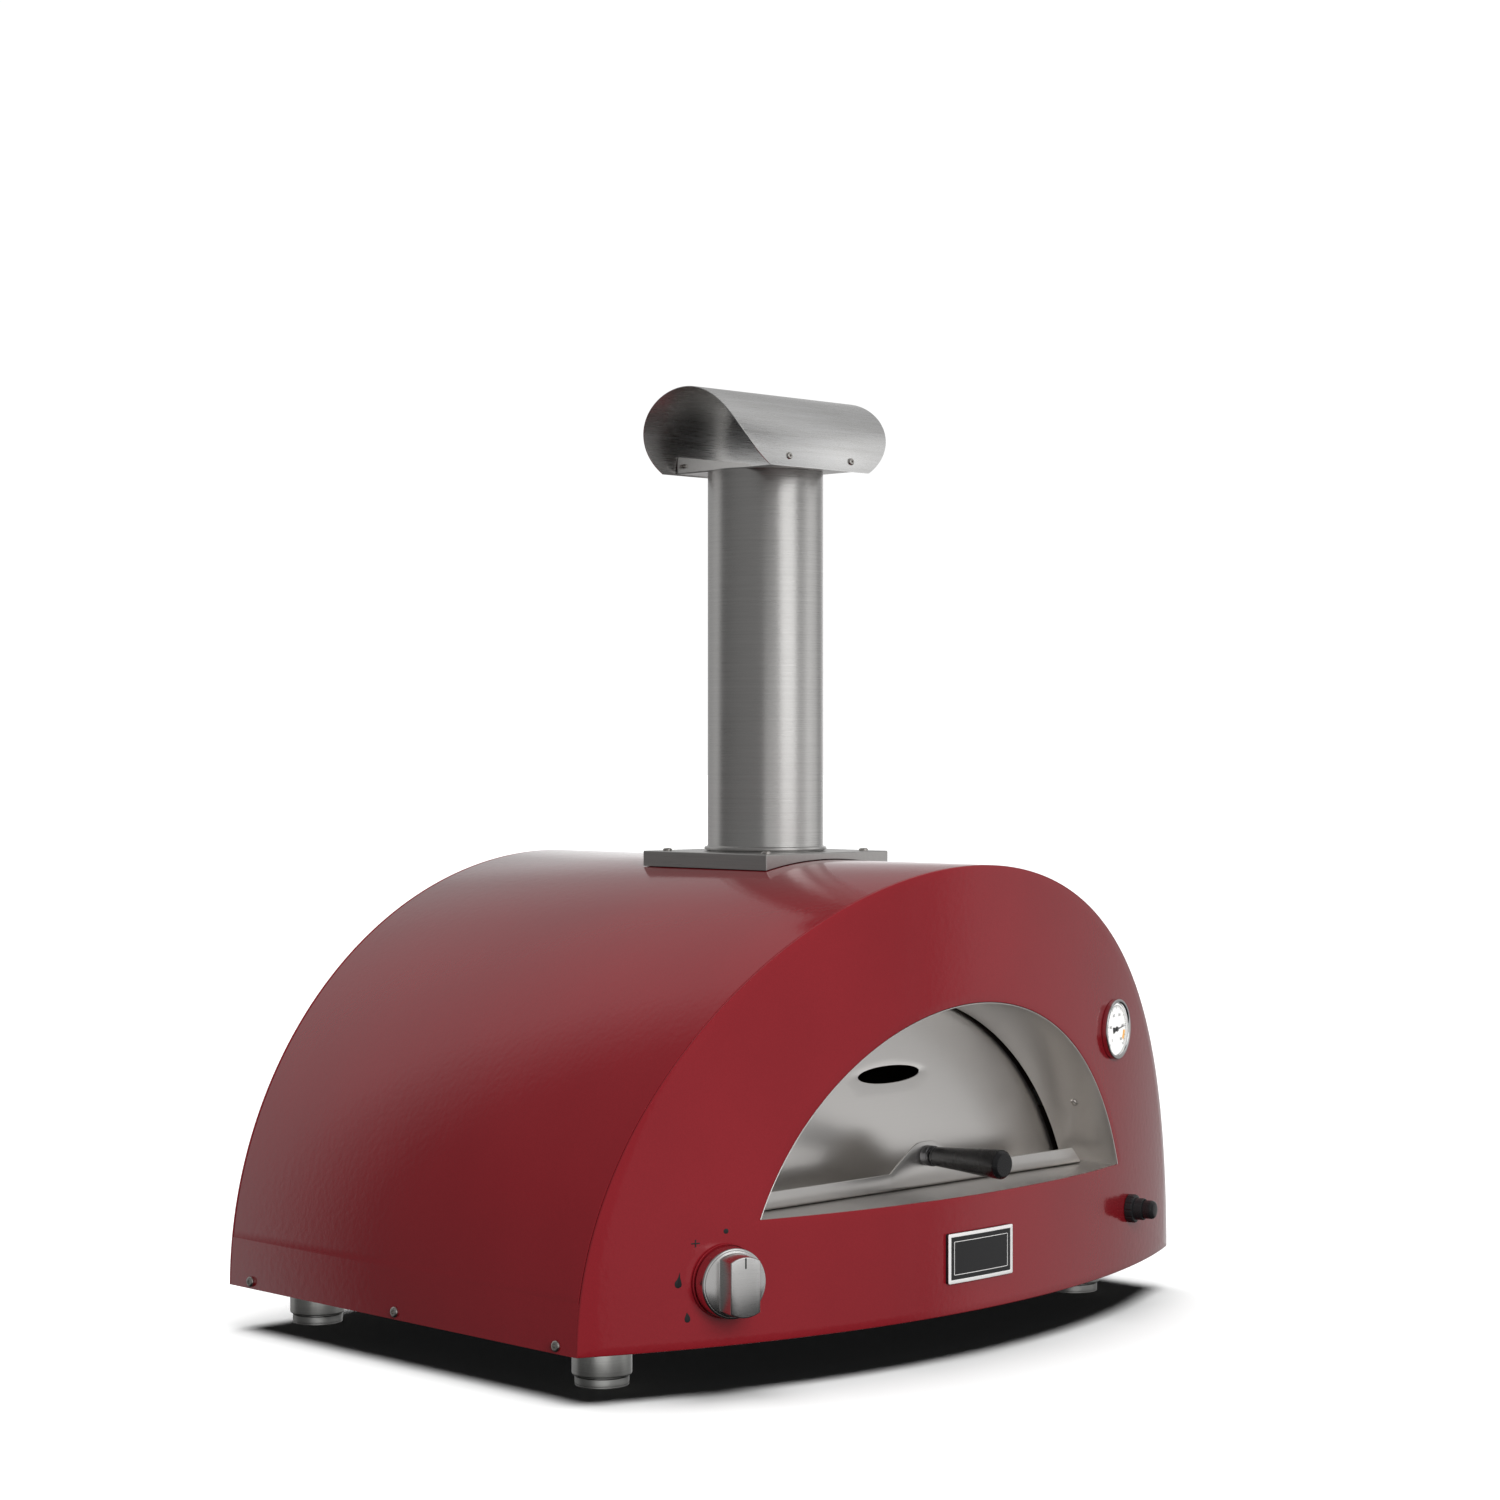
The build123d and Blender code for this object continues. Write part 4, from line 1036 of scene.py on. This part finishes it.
rim_loops = [(79, 40, 1.4, 2.8), (79, 40, 1.4, 3.2), (78.8, 39.8, 1.3, 3.45),
             (78.3, 39.3, 1.1, 3.6), (73.9, 34.9, 0.7, 3.6), (73.4, 34.4, 0.6, 3.4),
             (73.2, 34.2, 0.6, 3.1), (73.2, 34.2, 0.6, 2.8)]
line_loops = [(66, 27, 0.8, 3.05), (66, 27, 0.8, 3.25), (65, 26, 0.5, 3.25), (65, 26, 0.5, 3.05)]
piece("badge_rim", badge_ring(rim_loops), "oven", BADGE_RIM, ["badge_frame"])
piece("badge_panel", badge_back(), "oven", BADGE_FIELD, ["badge_plate"])
piece("badge_keyline", badge_ring(line_loops), "oven", BADGE_RIM, ())


def mark(outline, cx, cz):
    """Thin print on the front."""
    return skin([bowed(outline, cx, cz, 0.02), bowed(outline, cx, cz, 0.14),
                 bowed(inset(outline, 0.08), cx, cz, 0.17)], caps=True)


def flame(height, r, lean):
    """Drop with a leaning tip."""
    tip = lean, height - r
    right = smooth([(r, 0), (r * 0.82, r * 0.95), (lean * 0.5 + r * 0.3, r * 1.9), tip], 5)
    left = smooth([tip, (lean * 0.5 - r * 0.4, r * 1.7), (-r * 0.92, r * 0.7), (-r, 0)], 5)
    return right + left[1:] + arc(0, 0, r, 192, 348, 12)


def plus_sign(across, tall, half):
    """Outline of a plain cross."""
    quarter = [(half, half), (half, tall), (-half, tall), (-half, half)]
    side = [(-across, half), (-across, -half), (-half, -half), (-half, -tall)]
    return quarter + side + [(half, -tall), (half, -half), (across, -half), (across, half)]


marks = [mark(arc(0, 0, 2, 0, 345, 23), -248.9, 124.6),
         mark(plus_sign(3.4, 2.9, 0.48), -273.2, 117.0),
         mark(flame(11.9, 2.7, 1.3), -286.6, 87.0), mark(flame(7.7, 2.2, -0.5), -279.5, 60.0)]
piece("control_marks", merged(*marks), "oven", PRINT_BLACK, ())


# ---- gas inlet ----
def threaded(r, z, angle):
    """Radius of the inlet's half-inch male thread, which fades out at both of its ends."""
    pitch, depth = 1.814, 1.12
    wave = abs((z / pitch - angle / (2 * math.pi)) % 1 * 2 - 1)
    fade = min(1, max(0, (21.8 - z) / 1.6)) * min(1, max(0, z - 6.2))
    return r + depth * wave * fade


thread = [(9.35, 6 + i / 6) for i in range(97)] + [(4.5, 22), (4.5, 0), (9.3, 0)]
hexagon = arc(0, 0, 14.5, 0, 360, 6)
sides = [(ax + (bx - ax) * t, ay + (by - ay) * t)
         for (ax, ay), (bx, by) in zip(hexagon, hexagon[1:]) for t in (0.04, 0.35, 0.65, 0.96)]
nut_body = stack(sides, [(0.4, 0.1), (0, 0.5), (0, 5.4), (0.6, 6.0)])
INLET = turned_to(INLET_X, REAR_Y, INLET_Z, True)
piece("gas_tail", merged(lathe(thread, 48, True, threaded), nut_body), "oven", BRASS,
      ["gas_inlet"], INLET, 40)


# ---- floor, light and camera ----
def floor():
    """Wide white floor. The camera sees a paler one than the rest of the light does."""
    f = Finish("floor_white", Roughness=1.0, Specular_IOR_Level=0.0)
    vector = f.place()
    seen = f.add("LightPath").outputs["Is Camera Ray"]
    pale = f.blend(f.noise(vector, 3, 3), (0.3, 0.3, 0.3), (0.31, 0.31, 0.31))
    f.set("Base Color", f.blend(seen, (0.066, 0.066, 0.066), pale))
    mesh = bpy.data.meshes.new("floor")
    far = 40.0
    mesh.from_pydata([(-far, -far, 0), (far, -far, 0), (far, far, 0), (-far, far, 0)], [],
                     [(0, 1, 2, 3)])
    mesh.materials.append(f.material)
    obj = linked("floor", mesh)
    obj.visible_glossy = False


def world():
    """White to the camera and faint to diffuse rays.

    Reflections see a room that is bright behind the oven on the right and dim on the left, and
    that darkens below the horizon.
    """
    stops = ((0.22, 0.15), (0.5, 0.1), (0.61, 0.42), (0.7, 0.38), (0.85, 0.3), (0.94, 0.32),
             (0.98, 0.52), (0.993, 0.95))
    sky = bpy.data.worlds.new("studio")
    sky.use_nodes = True
    sky.node_tree.nodes.clear()
    w = Nodes(sky.node_tree)

    def background(strength, colour=None):
        node = w.add("Background")
        node.inputs["Strength"].default_value = strength
        node.inputs["Color"].default_value = (1, 1, 1, 1)
        if colour:
            w.feed(colour, node.inputs["Color"])
        return node.outputs[0]

    direction = w.add("TexCoord").outputs["Generated"]
    dot = w.add("VectorMath", operation="DOT_PRODUCT")
    dot.inputs[1].default_value = (0.809, 0.588, 0)
    w.feed(direction, dot.inputs[0])
    ramp = w.add("ValToRGB")
    ramp.color_ramp.elements[0].color = (0.17, 0.17, 0.17, 1)
    ramp.color_ramp.elements[1].color = (1, 1, 1, 1)
    for position, level in stops:
        ramp.color_ramp.elements.new(position).color = (level, level, level, 1)
    w.feed(w.span(dot.outputs["Value"], 0, 1, -1, 1), ramp.inputs[0])
    split = w.add("SeparateXYZ")
    w.feed(direction, split.inputs[0])
    height = split.outputs["Z"]
    room = w.add("Mix", data_type="RGBA", blend_type="ADD")
    room.inputs["Factor"].default_value = 1.0
    above = w.span(height, 0.06, 1.0, -0.5, -0.2)
    w.feed(w.blend(above, (0, 0, 0), ramp.outputs[0]), room.inputs[6])
    w.feed(w.span(height, 0.0, 0.06, 0.3, 0.8), room.inputs[7])
    path = w.add("LightPath").outputs
    lit = w.either(path["Is Diffuse Ray"], background(1.1, room.outputs[2]), background(0.06))
    w.feed(w.either(path["Is Camera Ray"], lit, background(1.05)),
           w.add("OutputWorld").inputs["Surface"])
    sky.cycles.sampling_method = "NONE"
    bpy.context.scene.world = sky


def lamp(name, kind, location, target, energy, **settings):
    """A light, in metres and watts, that points at a target."""
    data = bpy.data.lights.new(name, kind)
    data.energy = energy
    for key, value in settings.items():
        setattr(data, key, value)
    obj = linked(name, data)
    obj.location = location
    obj.rotation_euler = (Vector(target) - Vector(location)).to_track_quat("-Z", "Y").to_euler()
    return obj


def only_on(light, receives, *hidden_from):
    """Lets a light fall only on the meshes that receives() accepts, unseen by some rays."""
    lit = bpy.data.collections.new(light.name + "_receivers")
    for obj in bpy.data.objects:
        if obj.type == "MESH" and receives(obj):
            lit.objects.link(obj)
    light.light_linking.receiver_collection = lit
    for ray in hidden_from:
        setattr(light, "visible_" + ray, False)


# what a light falls on
def is_floor(obj):
    return obj.name == "floor"


def is_oven(obj):
    return not is_floor(obj)


def is_red(obj):
    return RED in obj.data.materials[:]


def is_steel(obj):
    return is_oven(obj) and not {RED, GRIP, IGNITER} & set(obj.data.materials)


def is_mouth(obj):
    return obj.name in ("door_sheet", "mouth_band", "threshold_plate")


def is_outer_steel(obj):
    return is_steel(obj) and not is_mouth(obj)


def is_flue(obj):
    return obj.name in ("flue_tube", "cowl_shell", "hood_bracket")


def is_foot(obj):
    return obj.name.startswith("foot_")


def is_dial(obj):
    return obj.name.startswith("dial_")


def softbox(name, azimuth, distance, height, width, tall, radiance, receives=is_steel):
    """Upright reflection card round the oven, seen only in some of its metal."""
    angle = math.radians(azimuth)
    place = (distance * math.cos(angle), distance * math.sin(angle), height)
    power = radiance * math.pi * width * tall
    only_on(lamp(name, "AREA", place, (0, 0, 0.4), power, shape="RECTANGLE", size=width,
                 size_y=tall), receives, "diffuse", "camera")


floor()
world()
WIDE_SUN = math.radians(62)
overhead = lamp("overhead", "SUN", (0, 0, 4), (0, 0, 0), 1.5, angle=WIDE_SUN)
overhead.visible_glossy = False
only_on(lamp("floor_sun", "SUN", (0, 0, 4), (0, 0, 0), 12.2, angle=WIDE_SUN), is_floor)
only_on(lamp("key", "AREA", (-1.6, -3.95, 1.75), (0, 0, 0.25), 172, shape="RECTANGLE", size=2.6,
             size_y=2.0), is_oven, "glossy")
softbox("card_wide", -86, 2.6, 0.6, 6.4, 2.6, 0.38, is_outer_steel)
softbox("card_mouth", -86, 2.6, 0.6, 6.4, 2.6, 0.24, is_mouth)
softbox("card_narrow", -88, 2.4, 1.7, 1.5, 2.2, 0.78)
softbox("card_flue", -24, 2.6, 0.9, 1.2, 2.4, 0.26, is_flue)
softbox("card_front", -80, 2.6, 0.6, 2.4, 2.4, 0.13, is_red)
softbox("card_left", -135, 2.6, 0.5, 3.2, 2.2, 1.5, is_mouth)
softbox("card_feet", -135, 2.6, 0.5, 2.4, 2.0, 1.05, is_foot)
only_on(lamp("dial_fill", "AREA", (1.0, -2.0, 0.7), (0.22, -0.2, 0.25), 27, size=0.8), is_dial,
        "glossy")
only_on(lamp("floor_bounce", "AREA", (0, -0.85, 0.01), (0, -0.85, 1), 3.4, shape="RECTANGLE",
             size=1.4, size_y=1.0), is_mouth, "diffuse", "camera")

camera = bpy.data.cameras.new("camera")
camera.lens, camera.sensor_width = LENS, SENSOR
holder = linked("camera", camera)
holder.location = CAMERA_PLACE
holder.rotation_euler = (math.radians(90), 0, math.radians(-45))
bpy.context.scene.camera = holder
bpy.context.scene.view_settings.view_transform = "Standard"
